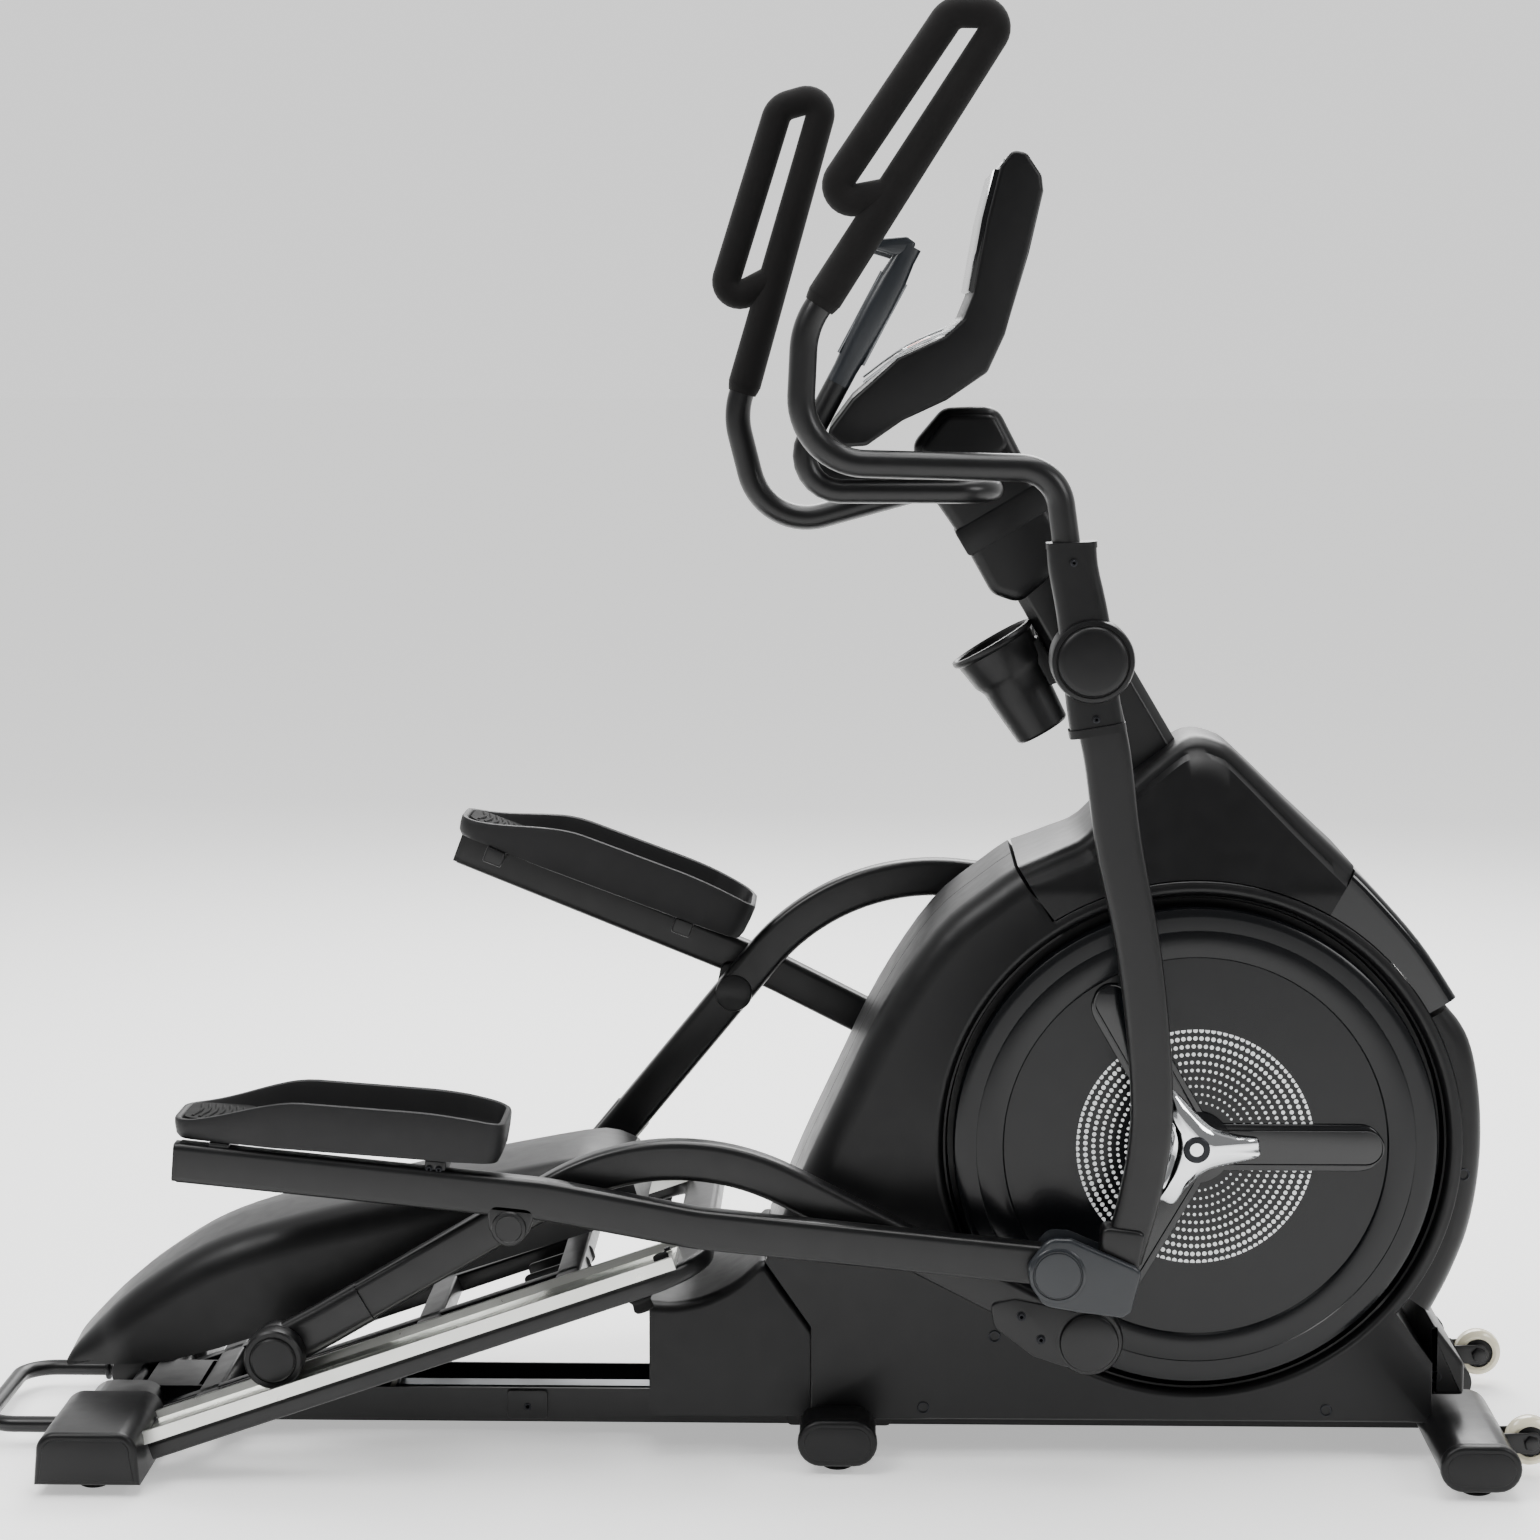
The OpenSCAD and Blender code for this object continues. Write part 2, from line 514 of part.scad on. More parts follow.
module cowl_outline() {
    polygon(concat([[328, 759], [422, 795], [418, 816], [509, 890], [552, 921], [599, 909], [615, 894],
                    [761, 757]], arc(CRANK, SHELL_R + 2, 63, 121, 16)));
}
module cowl_shape(half, inset) {
    intersection() {
        slab_mid(2 * half) offset(delta = -inset) cowl_outline();
        // Narrows towards the mast
        translate([-100, 0, 0]) rotate([90, 0, 90]) linear_extrude(1200)
            polygon([[-HOUSE_Y + inset, 600], [-HOUSE_Y + inset, 735], [-66 + inset, 925 - inset],
                     [66 - inset, 925 - inset], [HOUSE_Y - inset, 735], [HOUSE_Y - inset, 600]]);
    }
}
module mast_cowl() color(SHELL) difference() {
    cowl_shape(HOUSE_Y, 0);
    cowl_shape(HOUSE_Y - SHELL_T, SHELL_T);
    slab_mid(2 * (HOUSE_Y - 30)) polygon(arc(CRANK, SHELL_R + 14, 68, 116, 16));
    along_mast(-260) linear_extrude(260) obround(mast_h + GAP + 2, mast_w + GAP + 2);
}

module rear_cover() color(SHELL) difference() {
    slab_mid(2 * (HOUSE_Y - 12)) polygon(concat([[SEAM_X - GAP, HOUSE_Z + 3], [SEAM_X - GAP, 169], [13, 253]],
        arc([-90, 300], 100, -22, -75, 8), [[-133, 198], [-133, HOUSE_Z + 3]]));
    slab_mid(2 * (HOUSE_Y - 16)) polygon(concat([[SEAM_X + 1, HOUSE_Z - 1], [SEAM_X + 1, 164], [12, 246]],
        arc([-90, 300], 105, -24, -74, 8), [[-129, 193], [-129, HOUSE_Z - 1]]));
    // Way through for the push bar and the beam
    translate([-140, -beam_w / 2 - 1, 0]) cube([20, beam_w + 2, BEAM_TOP + 2]);
    foot_bar(1, 2 * HOUSE_Y, 2 * GAP);
}

FRONT_R = 365;
module front_cover() color(SHELL) difference() {
    slab_mid(2 * (HOUSE_Y - 10)) polygon(concat(arc(CRANK, FRONT_R, 29.5, -36, 16),
        [[904, 122], [904, HOUSE_Z + 30], [862 + GAP, HOUSE_Z + 30], [862 + GAP, 128]],
        arc(CRANK, SHELL_R + GAP, -43, 29.5, 18)));
    slab_mid(2 * (HOUSE_Y - 14)) polygon(concat(arc(CRANK, FRONT_R - 4, 28.5, -36, 16),
        [[900, 120], [900, HOUSE_Z], [861, HOUSE_Z], [861, 128]],
        arc(CRANK, SHELL_R - 10, -43, 28.5, 18)));
    translate([890, INLET_Y - INLET_W / 2, INLET_Z]) cube([20, INLET_W, INLET_H]);
}
// Centre of the power inlet across the machine, and the hole it sits in
INLET_Y = -31;
INLET_Z = 98;
INLET_W = 18;
INLET_H = 14;
module power_inlet() color(RUBBER) {
    translate([904 + GAP, INLET_Y - INLET_W / 2 - 4, INLET_Z - 4]) cube([3, INLET_W + 8, INLET_H + 8]);
    translate([894, INLET_Y - INLET_W / 2 + 0.4, INLET_Z + 0.4]) cube([10.2, INLET_W - 0.8, INLET_H - 0.8]);
}

module gloss_insert() color("#101114") difference() {
    slab_mid(2 * (HOUSE_Y - 8)) polygon(concat(arc(CRANK, SHELL_R + GAP, 61.5, 30.5, 10),
        arc(CRANK, FRONT_R + 18, 30.5, 58.5, 10)));
    slab_mid(2 * (HOUSE_Y - 12)) polygon(concat(arc(CRANK, SHELL_R - 5, 59, 32, 10),
        arc(CRANK, FRONT_R + 14, 32, 57, 10)));
}

// ---- Drive ----
PULLEY_Y = 48;
BELT_W = 14;
module crank_bearings() color(STEEL) for (s = [-1, 1])
    difference() {
        disc(s, CRANK, BEARING_R - 6 - 0.02, BEARING_L / 2 - 14, BEARING_L / 2);
        disc(s, CRANK, crank_axle_r + RUN, 0, BEARING_L);
    }
module crank_axle() color(STEEL) disc(1, CRANK, crank_axle_r, -(DISC_FACE + 2), DISC_FACE + 2);
module drive_pulley() color(BLACK) difference() {
    disc(1, CRANK, pulley_r, PULLEY_Y, PULLEY_Y + BELT_W);
    disc(1, CRANK, crank_axle_r, 0, 100);
    for (k = [0 : 4]) disc(1, CRANK + polar(pulley_r * 0.58, 72 * k), pulley_r * 0.2, 0, 100);
}
// Ribs of the disc lie at thirds of a turn, one of them over the crank pin
RIB_W = 60;
module rib_shape(s, from, to, w) {
    for (k = [0 : 2]) translate(CRANK) rotate(side_angle(s) + 120 * k)
        translate([(from + to) / 2, 0]) obround(to - from, w);
}
module crank_disc(s) color(BLACK) difference() {
    disc(s, CRANK, disc_r, DISC_Y, DISC_FACE);
    difference() {
        disc(s, CRANK, ring_r, DISC_FACE - 5, DISC_FACE + 1);
        slab(s, DISC_FACE - 6, DISC_FACE + 2) rib_shape(s, -20, crank_r + 36, RIB_W);
    }
    disc(s, CRANK, disc_r - 8, 0, DISC_FACE - 12);
    disc(s, CRANK, crank_axle_r, 0, 200);
}
module hub_stars() color("#d9dbdc") for (s = [-1, 1]) difference() {
    slab(s, DISC_FACE + GAP, DISC_FACE + 15) {
        rib_shape(s, -15, 75, 32);
        translate(CRANK) circle(36);
    }
    disc(s, CRANK, crank_axle_r, 0, DISC_FACE + 3);
}
module belt_path(grow) {
    hull() {
        translate(CRANK) circle(pulley_r + grow, $fn = 96);
        translate(FLY) circle(small_pulley_r + grow, $fn = 48);
    }
}
module drive_belt() color(RUBBER) slab(1, PULLEY_Y + 1, PULLEY_Y + BELT_W - 1) difference() {
    belt_path(4);
    belt_path(0.5);
}
FLY_HALF = 22;
module flywheel() color(STEEL) union() {
    difference() {
        disc(1, FLY, flywheel_r, -FLY_HALF, FLY_HALF);
        for (s = [-1, 1]) slab(s, 8, 60) translate(FLY) difference() {
            circle(flywheel_r - 24);
            circle(30);
        }
    }
    disc(1, FLY, 8, -BRACKET_Y - 12, PULLEY_Y + BELT_W + 6);
    disc(1, FLY, small_pulley_r, PULLEY_Y, PULLEY_Y + BELT_W);
}
BRAKE_GAP = 3;
BRAKE_PIVOT = FLY + polar(flywheel_r + 16, 75);
module brake_shoe() color(STEEL) difference() {
    union() {
        slab_mid(30) polygon(concat(arc(FLY, flywheel_r + BRAKE_GAP, 75, 15, 16),
                                    arc(FLY, flywheel_r + 14, 15, 75, 16)));
        disc(1, BRAKE_PIVOT, 9, -18, 18);
    }
    disc(1, BRAKE_PIVOT, 4 + RUN, -30, 30);
}
module brake_motor() color(BLACK) {
    disc(1, BRAKE_PIVOT, 4, -24, 24);
    for (s = [-1, 1]) slab(s, 19, 23) polygon([BRAKE_PIVOT + [-8, -8], BRAKE_PIVOT + [8, -8],
        BRAKE_PIVOT + [10, 40], BRAKE_PIVOT + [-40, 60], [MAST_LOW[0] - 10, MAST_LOW[1] - 200]]);
    slab_mid(46) translate(BRAKE_PIVOT + [-46, 40]) square([60, 40]);
}

// ---- Lift ----
LIFT_ROLLER_R = 30;
LIFT_Z = TROUGH_Z + 0.6 + LIFT_ROLLER_R;
LIFT_LEN = 239;
LIFT_PIN = [551, -58];
LIFT_PIN_AT = HINGE + turned(LIFT_PIN, incline);
LIFT_FOOT = [LIFT_PIN_AT[0] - sqrt(LIFT_LEN * LIFT_LEN - pow(LIFT_PIN_AT[1] - LIFT_Z, 2)), LIFT_Z];
SCREW = [-20, 84];
module lift_motor() color(BLACK) {
    translate([SCREW[0], 0, SCREW[1]]) rotate([0, 90, 0]) cylinder(r = 20, h = 66);
    translate([SCREW[0] - 14, -beam_w / 2 + 2, BEAM_TOP + EPS]) cube([30, beam_w - 4, 46]);
    translate([SCREW[0] - 100, 0, SCREW[1]]) rotate([0, 90, 0]) cylinder(r = 8, h = 110);
}
module push_bar() color(STEEL) difference() {
    union() {
        translate([LIFT_FOOT[0] + 12, -14, TROUGH_Z + 1]) cube([SCREW[0] - 70 - LIFT_FOOT[0] - 12, 28, 12]);
        translate([SCREW[0] - 84, -14, TROUGH_Z + 1]) cube([14, 28, 62]);
    }
    translate([SCREW[0] - 120, 0, SCREW[1]]) rotate([0, 90, 0]) cylinder(r = 8 + RUN, h = 110);
}
module lift_arm() color(BLACK) difference() {
    union() {
        for (s = [-1, 1]) slab(s, 17, 22) union() {
            translate(LIFT_FOOT) circle(12);
            translate(LIFT_PIN_AT) circle(14);
            translate(LIFT_FOOT) rotate(heading(LIFT_PIN_AT - LIFT_FOOT)) translate([0, -11]) square([LIFT_LEN, 22]);
        }
        disc(1, LIFT_FOOT, 7, -46, 46);
        for (s = [-1, 1]) disc(s, LIFT_FOOT, LIFT_ROLLER_R, 23, 45);
        slab_mid(36) translate((LIFT_FOOT + LIFT_PIN_AT) / 2) circle(9);
    }
    disc(1, LIFT_PIN_AT, 8 + RUN, -40, 40);
}

// ---- Ramp ----
SIDE_Y = 258;
SIDE_W = 50;
SIDE_H = 24;
TRACK_LOW = roller_rise - roller_r - 7;
SIDE_Z = TRACK_LOW - SIDE_H / 2 - 0.1;
RAMP_END = 803 - SIDE_W / 2;
CROSS_X = [190, 400, 590];
module ramp_frame() color(BLACK) on_ramp() difference() {
    union() {
        // Side tubes joined round the front
        translate([0, 0, SIDE_Z]) box_run([[64, -SIDE_Y], [RAMP_END, -SIDE_Y], [RAMP_END, SIDE_Y], [64, SIDE_Y]],
            [0, 60, 60, 0], SIDE_W, SIDE_H, 3);
        // Cross tubes, and the long bars that carry the hood
        for (x = CROSS_X) translate([x, -SIDE_Y + 20, SIDE_Z - SIDE_H / 2]) cube([34, 2 * SIDE_Y - 40, SIDE_H]);
        for (s = [-1, 1]) translate([0, s * 95 - 12, SIDE_Z - SIDE_H / 2]) cube([620, 24, SIDE_H]);
        // Hinge arms and pin
        for (s = [-1, 1]) translate([-18, s * 95 - 12, SIDE_Z - SIDE_H / 2]) cube([40, 24, 24 - SIDE_Z + SIDE_H / 2 - 6]);
        rotate([90, 0, 0]) cylinder(r = 9, h = 210, center = true);
        // Ears for the lift arm
        for (s = [-1, 1]) translate([LIFT_PIN[0] - 14, s * 29 - 3, LIFT_PIN[1] - 12]) cube([90, 6, 12 - LIFT_PIN[1] + SIDE_Z]);
        translate([LIFT_PIN[0], 0, LIFT_PIN[1]]) rotate([90, 0, 0]) cylinder(r = 8, h = 64, center = true);
        // Rubber stops under the front ends and on top of the tracks
        for (s = [-1, 1]) translate([696, s * SIDE_Y - 15, SIDE_Z - SIDE_H / 2 - 20]) cube([34, 30, 21]);
    }
    translate([-80, -64, -60]) cube([60, 128, 90]);
}

module track_shape() {
    w = track_w;
    polygon([[-w / 2, 0], [w / 2, 0], [w / 2, 16], [w / 2 - 6, 16], [w / 2 - 10, 7], [8, 7], [5, 11],
             [-5, 11], [-8, 7], [-w / 2 + 10, 7], [-w / 2 + 6, 16], [-w / 2, 16]]);
}
module tracks() color(SILVER) on_ramp() for (s = [-1, 1])
    translate([track_start, s * track_y, TRACK_LOW]) rotate([90, 0, 90]) linear_extrude(track_len)
        track_shape_for(s);
// The groove under the roller is left free of the middle rib
module track_shape_for(s) {
    difference() {
        track_shape();
        translate([s * (ROLLER_IN - track_y) + (s < 0 ? -roller_w - 1 : -1), 7 - 0.3]) square([roller_w + 2, 20]);
    }
}

HOOD = [[-54, 88], [-2, 116], [74, 151], [157, 178], [214, 181], [303, 174], [392, 164], [690, 124], [726, 96]];
HOOD_FLOOR = [[-60, 78], [-8, 66], [84, 42], [142, 37], [730, 26]];
function hood_low(x) = lookup(x, HOOD_FLOOR);
module hood_slices(inset) hull() for (p = HOOD) {
    w = hood_half - inset - max(0, (30 - p[0]) * 0.35);
    low = hood_low(p[0]) - (inset > 0 ? 2 : 0);
    r = min(34, (p[1] - low) * 0.42);
    translate([p[0] - inset * sign(p[0] - 200), 0, 0]) rotate([90, 0, 90]) linear_extrude(0.1) {
        translate([-w, low]) square([2 * w, 2]);
        for (s = [-1, 1]) translate([s * (w - r - 4), p[1] - inset - r]) circle(r, $fn = 32);
    }
}
module ramp_hood() color(SHELL) on_ramp() difference() {
    hood_slices(0);
    hood_slices(3);
}

// ---- Rollers and links ----
module roller_axle(s) color(STEEL)
    disc(s, side_roller(s), axle_r, link_y - link_w / 2 - 6, ROLLER_IN + roller_w + 2);
module roller(s) color(RUBBER) difference() {
    disc(s, side_roller(s), roller_r - 0.3, ROLLER_IN, ROLLER_IN + roller_w);
    disc(s, side_roller(s), axle_r + RUN, 100, 300);
}
BUSH_R = axle_r + bush_wall;
module link_bush(s) color("#9a7b3f") difference() {
    disc(s, side_roller(s), BUSH_R, link_y - link_w / 2, link_y + link_w / 2);
    disc(s, side_roller(s), axle_r + RUN, 100, 300);
}

LINK_APEX = [500, 279];
LINK_BEND = 300;
BOSS_R = 27;
PIN_BOSS_R = 42;
module roller_link(s) color(BLACK) place(side_roller(s), link_angle(side_angle(s))) difference() {
    union() {
        upright(s * link_y) box_run([[0, 0], LINK_APEX, [link_len, 0]], [0, LINK_BEND, 0], link_h, link_w, 3);
        disc(s, [0, 0], BOSS_R, link_y - link_w / 2, link_y + link_w / 2);
        disc(s, [link_len, 0], PIN_BOSS_R, link_y - link_w / 2, link_y + link_w / 2 + 2);
        disc(s, [link_len, 0], PIN_BOSS_R - 6, link_y, PIN_CAP_Y);
        disc(s, [link_len, 0], 16, DISC_FACE + 1.5, link_y);
        // Pivot boss, which stops short of the pedal arm's lug
        disc(s, [pivot_along, pivot_rise], 24, link_y - link_w / 2, link_y + link_w / 2 + 8);
    }
    disc(s, [0, 0], BUSH_R + RUN, 100, 300);
}

// ---- Pedal arms and pedals ----
ARM_BUSH_R = pin_r + 5;
EYE_R = ARM_BUSH_R + 7;
module arm_bush(s) color("#9a7b3f") difference() {
    disc(s, side_end(s), ARM_BUSH_R, arm_y - arm_w / 2, arm_y + arm_w / 2);
    disc(s, side_end(s), pin_r + RUN, 100, 400);
}
ARM_RUN = [[-416, 49], [40, 37], [230, 16], [arm_len - 10, 5]];
LUG_IN = link_y + link_w / 2 + 8 + 1;
module pedal_arm(s) color(BLACK) place(side_pivot(s), arm_angle(s)) difference() {
    union() {
        upright(s * arm_y) box_run(ARM_RUN, [0, 400, 400, 0], arm_h, arm_w, 3);
        disc(s, [arm_len, 0], EYE_R, arm_y - arm_w / 2, arm_y + arm_w / 2);
        // Lug that hangs below the tube at the roller link's pivot
        disc(s, [0, 0], 22, LUG_IN, arm_y + arm_w / 2 + 4);
        slab(s, arm_y - arm_w / 2, arm_y + arm_w / 2) translate([-22, 0]) square([44, 20]);
        // Cross bars under the pedal
        for (x = PEG_X) slab(s, 150, arm_y) translate([x, 60]) square([26, PEDAL_Z - 60]);
    }
    disc(s, [arm_len, 0], ARM_BUSH_R + RUN, 100, 400);
}
PEG_X = [-380, -110];
PEDAL_Z = 77;
PEDAL_Y = arm_y + arm_w / 2 + 8 - pedal_w / 2;
module pedal_plan(grow) {
    r = 46 + grow;
    w = pedal_w / 2 + grow;
    l = pedal_len + 2 * grow;
    translate([-14 + grow - l, 0]) {
        translate([r * 0.8, -w]) square([l - r * 1.8, 2 * w]);
        for (k = [-1, 1]) translate([l - r, k * (w - r)]) circle(r);
        translate([l - 2 * r, -w + r]) square([2 * r, 2 * (w - r)]);
        translate([0, -w * 0.72]) square([r * 0.9, w * 1.44]);
        for (k = [-1, 1]) translate([r * 0.8, k * (w - r * 0.8)]) circle(r * 0.8);
    }
}
module pedal(s) color("#2b2a2b") place(side_pivot(s), arm_angle(s)) translate([0, s * PEDAL_Y, PEDAL_Z])
    difference() {
        linear_extrude(pedal_rim) pedal_plan(0);
        translate([0, 0, 12]) linear_extrude(pedal_rim) pedal_plan(-8);
        // The rim falls away towards the heel
        translate([-500, 0, 26]) slab_mid(400)
            polygon([[0, 0], [70, 0], [150, 26], [186, 37], [186, 80], [0, 80]]);
    }

// ---- Swing arms ----
CAST_R = 44;
SOCKET_UP = 138;
// Tube below the axle, in the arm's own frame: the axle is the origin and the pedal arm's pin hangs straight below
SWING_RUN = [[6, -50], [121, -543], [80, -swing_len + 26]];
module at_swing(s) { place(SWING, swing_angle(s)) children(); }
GRIP_LOW = [-342, 428];
GRIP_DIR = polar(1, 59.9);
HANDLE = [[-24, 60], [-56, 229], [-368, 222], [-368, 384], GRIP_LOW + GRIP_DIR * 40];
HANDLE_BEND = [0, 52, 114, 100, 0];
module swing_arm(s) color(BLACK) at_swing(s) difference() {
    union() {
        upright(s * arm_y) box_run(SWING_RUN, [0, 640, 0], swing_h, arm_w, 3);
        // Casting round the axle, with a socket above and below
        disc(s, [0, 0], CAST_R, 227, arm_y + 23);
        for (end = [[14, -88], [-32, SOCKET_UP]]) upright(s * arm_y) rotate(heading(end))
            translate([0, -30, -22]) cube([norm(end), 60, 44]);
        upright(s * arm_y) pipe_run(HANDLE, HANDLE_BEND, bar_d, 3);
        // Cheeks that hold the pedal arm's pin
        for (y = [CHEEK_IN, CHEEK_OUT]) slab(s, y, y + CHEEK_T) union() {
            translate([0, -swing_len]) circle(20);
            polygon([[0, -swing_len + 20], [98, -swing_len + 12], [88, -swing_len - 36], [0, -swing_len - 20]]);
        }
        slab(s, CHEEK_IN, CHEEK_OUT + CHEEK_T) translate([50, -swing_len - 24]) square([40, 54]);
        disc(s, [0, -swing_len], pin_r, CHEEK_IN, CHEEK_OUT + CHEEK_T);
    }
    disc(s, [0, 0], swing_axle_r + RUN, 100, arm_y + 20.5);
}
COVER_IN = CHEEK_OUT + CHEEK_T + GAP;
module joint_cover(s) color(GREY) at_swing(s) difference() {
    union() {
        disc(s, [0, -swing_len], 42, COVER_IN, COVER_IN + 15);
        slab(s, COVER_IN, COVER_IN + 14) translate([0, -swing_len])
            polygon([[0, 30], [12, 44], [106, 12], [94, -40], [84, -48], [0, -30]]);
    }
    disc(s, [0, -swing_len], 27, COVER_IN + 12, COVER_IN + 16);
}

// Foam closes a loop from the top of the bar back down to it
GRIP_BEND = foam_d / 2 + 3;
GRIP = [GRIP_LOW, [-145, 767], [-211, 765], [-356, 528], [-278, 538]];
module grip(s) color(FOAM) at_swing(s) difference() {
    upright(s * arm_y) rod_run(GRIP, [0, GRIP_BEND, GRIP_BEND, GRIP_BEND, 0], foam_d);
    upright(s * arm_y) rod_run(HANDLE, HANDLE_BEND, bar_d + GAP);
}

base_frame();
foot_tubes();
rear_foot_cover();
rear_handle();
foot_caps();
levelling_feet();
mast();
mast_cover();
bottle_holder();
pulse_bar();
pulse_grips();
console_shell();
console_face();
start_key();
stop_key();
mast_cowl();
rear_cover();
front_cover();
gloss_insert();
crank_bearings();
crank_axle();
drive_pulley();
hub_stars();
drive_belt();
flywheel();
brake_shoe();
brake_motor();
lift_motor();
push_bar();
lift_arm();
ramp_frame();
tracks();
ramp_hood();
power_inlet();
for (i = [0, 1]) {
    s = 2 * i - 1;
    side = SIDES[i];
    roller_axle(s);
    roller(s);
    link_bush(s);
    roller_link(s);
    arm_bush(s);
    pedal_arm(s);
    pedal(s);
    swing_arm(s);
    grip(s);
    joint_cover(s);
    crank_disc(s);
    transport_wheel(s);
    housing(s);
}
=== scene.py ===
"""Looks of a front-drive elliptical trainer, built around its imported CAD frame.

Sizes are millimetres unless a name says otherwise. A point is (x, z) in the plane of a side
view, with y given apart: +x is the drive end, -y the user's right and +z up.
"""

from __future__ import annotations

import json
import logging
import math
from dataclasses import dataclass
from enum import Enum
from typing import Callable, Iterable, Sequence

import bmesh
import bpy
from mathutils import Matrix, Vector


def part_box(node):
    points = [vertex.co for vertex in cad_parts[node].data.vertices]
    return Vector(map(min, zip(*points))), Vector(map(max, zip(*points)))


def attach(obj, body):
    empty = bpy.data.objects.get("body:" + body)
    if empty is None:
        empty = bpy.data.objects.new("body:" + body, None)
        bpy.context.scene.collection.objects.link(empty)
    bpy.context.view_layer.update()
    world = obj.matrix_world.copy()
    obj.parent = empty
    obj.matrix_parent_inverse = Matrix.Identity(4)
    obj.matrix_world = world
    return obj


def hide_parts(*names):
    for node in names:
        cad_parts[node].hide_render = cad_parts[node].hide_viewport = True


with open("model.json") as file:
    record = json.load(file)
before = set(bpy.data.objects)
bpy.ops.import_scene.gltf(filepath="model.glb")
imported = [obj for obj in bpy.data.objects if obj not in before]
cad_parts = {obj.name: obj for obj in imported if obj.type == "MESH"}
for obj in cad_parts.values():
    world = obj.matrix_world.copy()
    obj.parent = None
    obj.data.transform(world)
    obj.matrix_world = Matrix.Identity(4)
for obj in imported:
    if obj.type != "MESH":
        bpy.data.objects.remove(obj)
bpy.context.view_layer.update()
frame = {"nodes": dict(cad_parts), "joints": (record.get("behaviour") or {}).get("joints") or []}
MM = 0.001
Flat = tuple[float, float]
Section = list[Flat]
LOG = logging.getLogger("trainer")


class Side(Enum):
    """One side of the machine, with its sign along y."""

    RIGHT = -1
    LEFT = 1

    @property
    def word(self) -> str:
        """The side's name as the CAD nodes and bodies spell it."""
        return self.name.lower()

    @property
    def crank_degrees(self) -> float:
        """Where the side's crank pin stands at rest, from +x towards +z."""
        return 240.0 if self is Side.RIGHT else 60.0


# ---------------------------------------------------------------- plane geometry


def polar(radius: float, degrees: float, centre: Flat = (0.0, 0.0)) -> Flat:
    """Returns the point at an angle from +x towards +z round a centre."""
    turn = math.radians(degrees)
    return (centre[0] + radius * math.cos(turn), centre[1] + radius * math.sin(turn))


def arc(centre: Flat, radius: float, start: float, end: float, steps: int) -> list[Flat]:
    """Returns evenly spaced points of an arc, both ends included."""
    return [polar(radius, start + (end - start) * i / steps, centre) for i in range(steps + 1)]


def quarter(steps: int) -> list[float]:
    """Returns evenly spaced angles of a quarter turn, 0 to a right angle, in radians."""
    return [math.pi / 2 * i / steps for i in range(steps + 1)]


def shifted(origin: Flat, degrees: float, points: Iterable[Flat]) -> list[Flat]:
    """Turns points drawn in a part's own plane and puts them at its origin."""
    c, s = math.cos(math.radians(degrees)), math.sin(math.radians(degrees))
    return [(origin[0] + x * c - z * s, origin[1] + x * s + z * c) for x, z in points]


def smooth(points: Sequence[Flat], steps: int = 6, closed: bool = False) -> list[Flat]:
    """Returns a Catmull-Rom curve through flat points.

    Args:
        points: the points to pass through.
        steps: pieces between two points.
        closed: whether the last point joins the first.

    Returns:
        The points of the finer curve.
    """
    count = len(points)
    pick = (lambda i: points[i % count]) if closed else (lambda i: points[min(max(i, 0), count - 1)])
    curve: list[Flat] = []
    for i in range(count if closed else count - 1):
        a, b, c, d = (Vector(pick(i + k)) for k in (-1, 0, 1, 2))
        for k in range(steps):
            t = k / steps
            p = 0.5 * (2 * b + (c - a) * t + (2 * a - 5 * b + 4 * c - d) * t ** 2
                       + (3 * b - a - 3 * c + d) * t ** 3)
            curve.append((p.x, p.y))
    if not closed:
        curve.append(tuple(points[-1]))
    return curve


def rounded(points: Sequence[Flat], radii: float | Sequence[float], steps: int = 5,
            closed: bool = True) -> list[Flat]:
    """Rounds the corners of a flat outline.

    Args:
        points: the corners.
        radii: one radius for all corners, or one for each; 0 keeps a corner.
        steps: pieces in each rounded corner.
        closed: whether the last corner joins the first.

    Returns:
        The rounded outline.
    """
    count = len(points)
    sizes = [radii] * count if isinstance(radii, (int, float)) else list(radii)
    outline: list[Flat] = []
    for i, point in enumerate(points):
        p = Vector(point)
        if sizes[i] <= 0 or (not closed and i in (0, count - 1)):
            outline.append(tuple(point))
            continue
        before, after = Vector(points[i - 1]) - p, Vector(points[(i + 1) % count]) - p
        half = before.angle(after) / 2
        reach = min(sizes[i] / max(math.tan(half), 1e-4), before.length * 0.49, after.length * 0.49)
        a, b = p + before.normalized() * reach, p + after.normalized() * reach
        for k in range(steps + 1):
            t = k / steps
            q = a * (1 - t) ** 2 + p * 2 * t * (1 - t) + b * t ** 2
            outline.append((q.x, q.y))
    return outline


def round_section(d: float, count: int = 24) -> Section:
    """Returns a circle of diameter d as a section."""
    return [polar(d / 2, 360 * i / count) for i in range(count)]


def box_section(h: float, w: float, r: float, steps: int = 4) -> Section:
    """Returns a rectangle with rounded corners, h across the path's plane side and w along y."""
    return rounded([(h / 2, w / 2), (-h / 2, w / 2), (-h / 2, -w / 2), (h / 2, -w / 2)], r, steps)


def spot(point: Flat, y: float) -> Vector:
    """Returns a point of the side plane at y, in metres."""
    return Vector((point[0], y, point[1])) * MM


def direction(degrees: float) -> Vector:
    """Returns the unit vector of the side plane at an angle from +x towards +z."""
    return Vector((*polar(1, degrees),)).to_3d().xzy


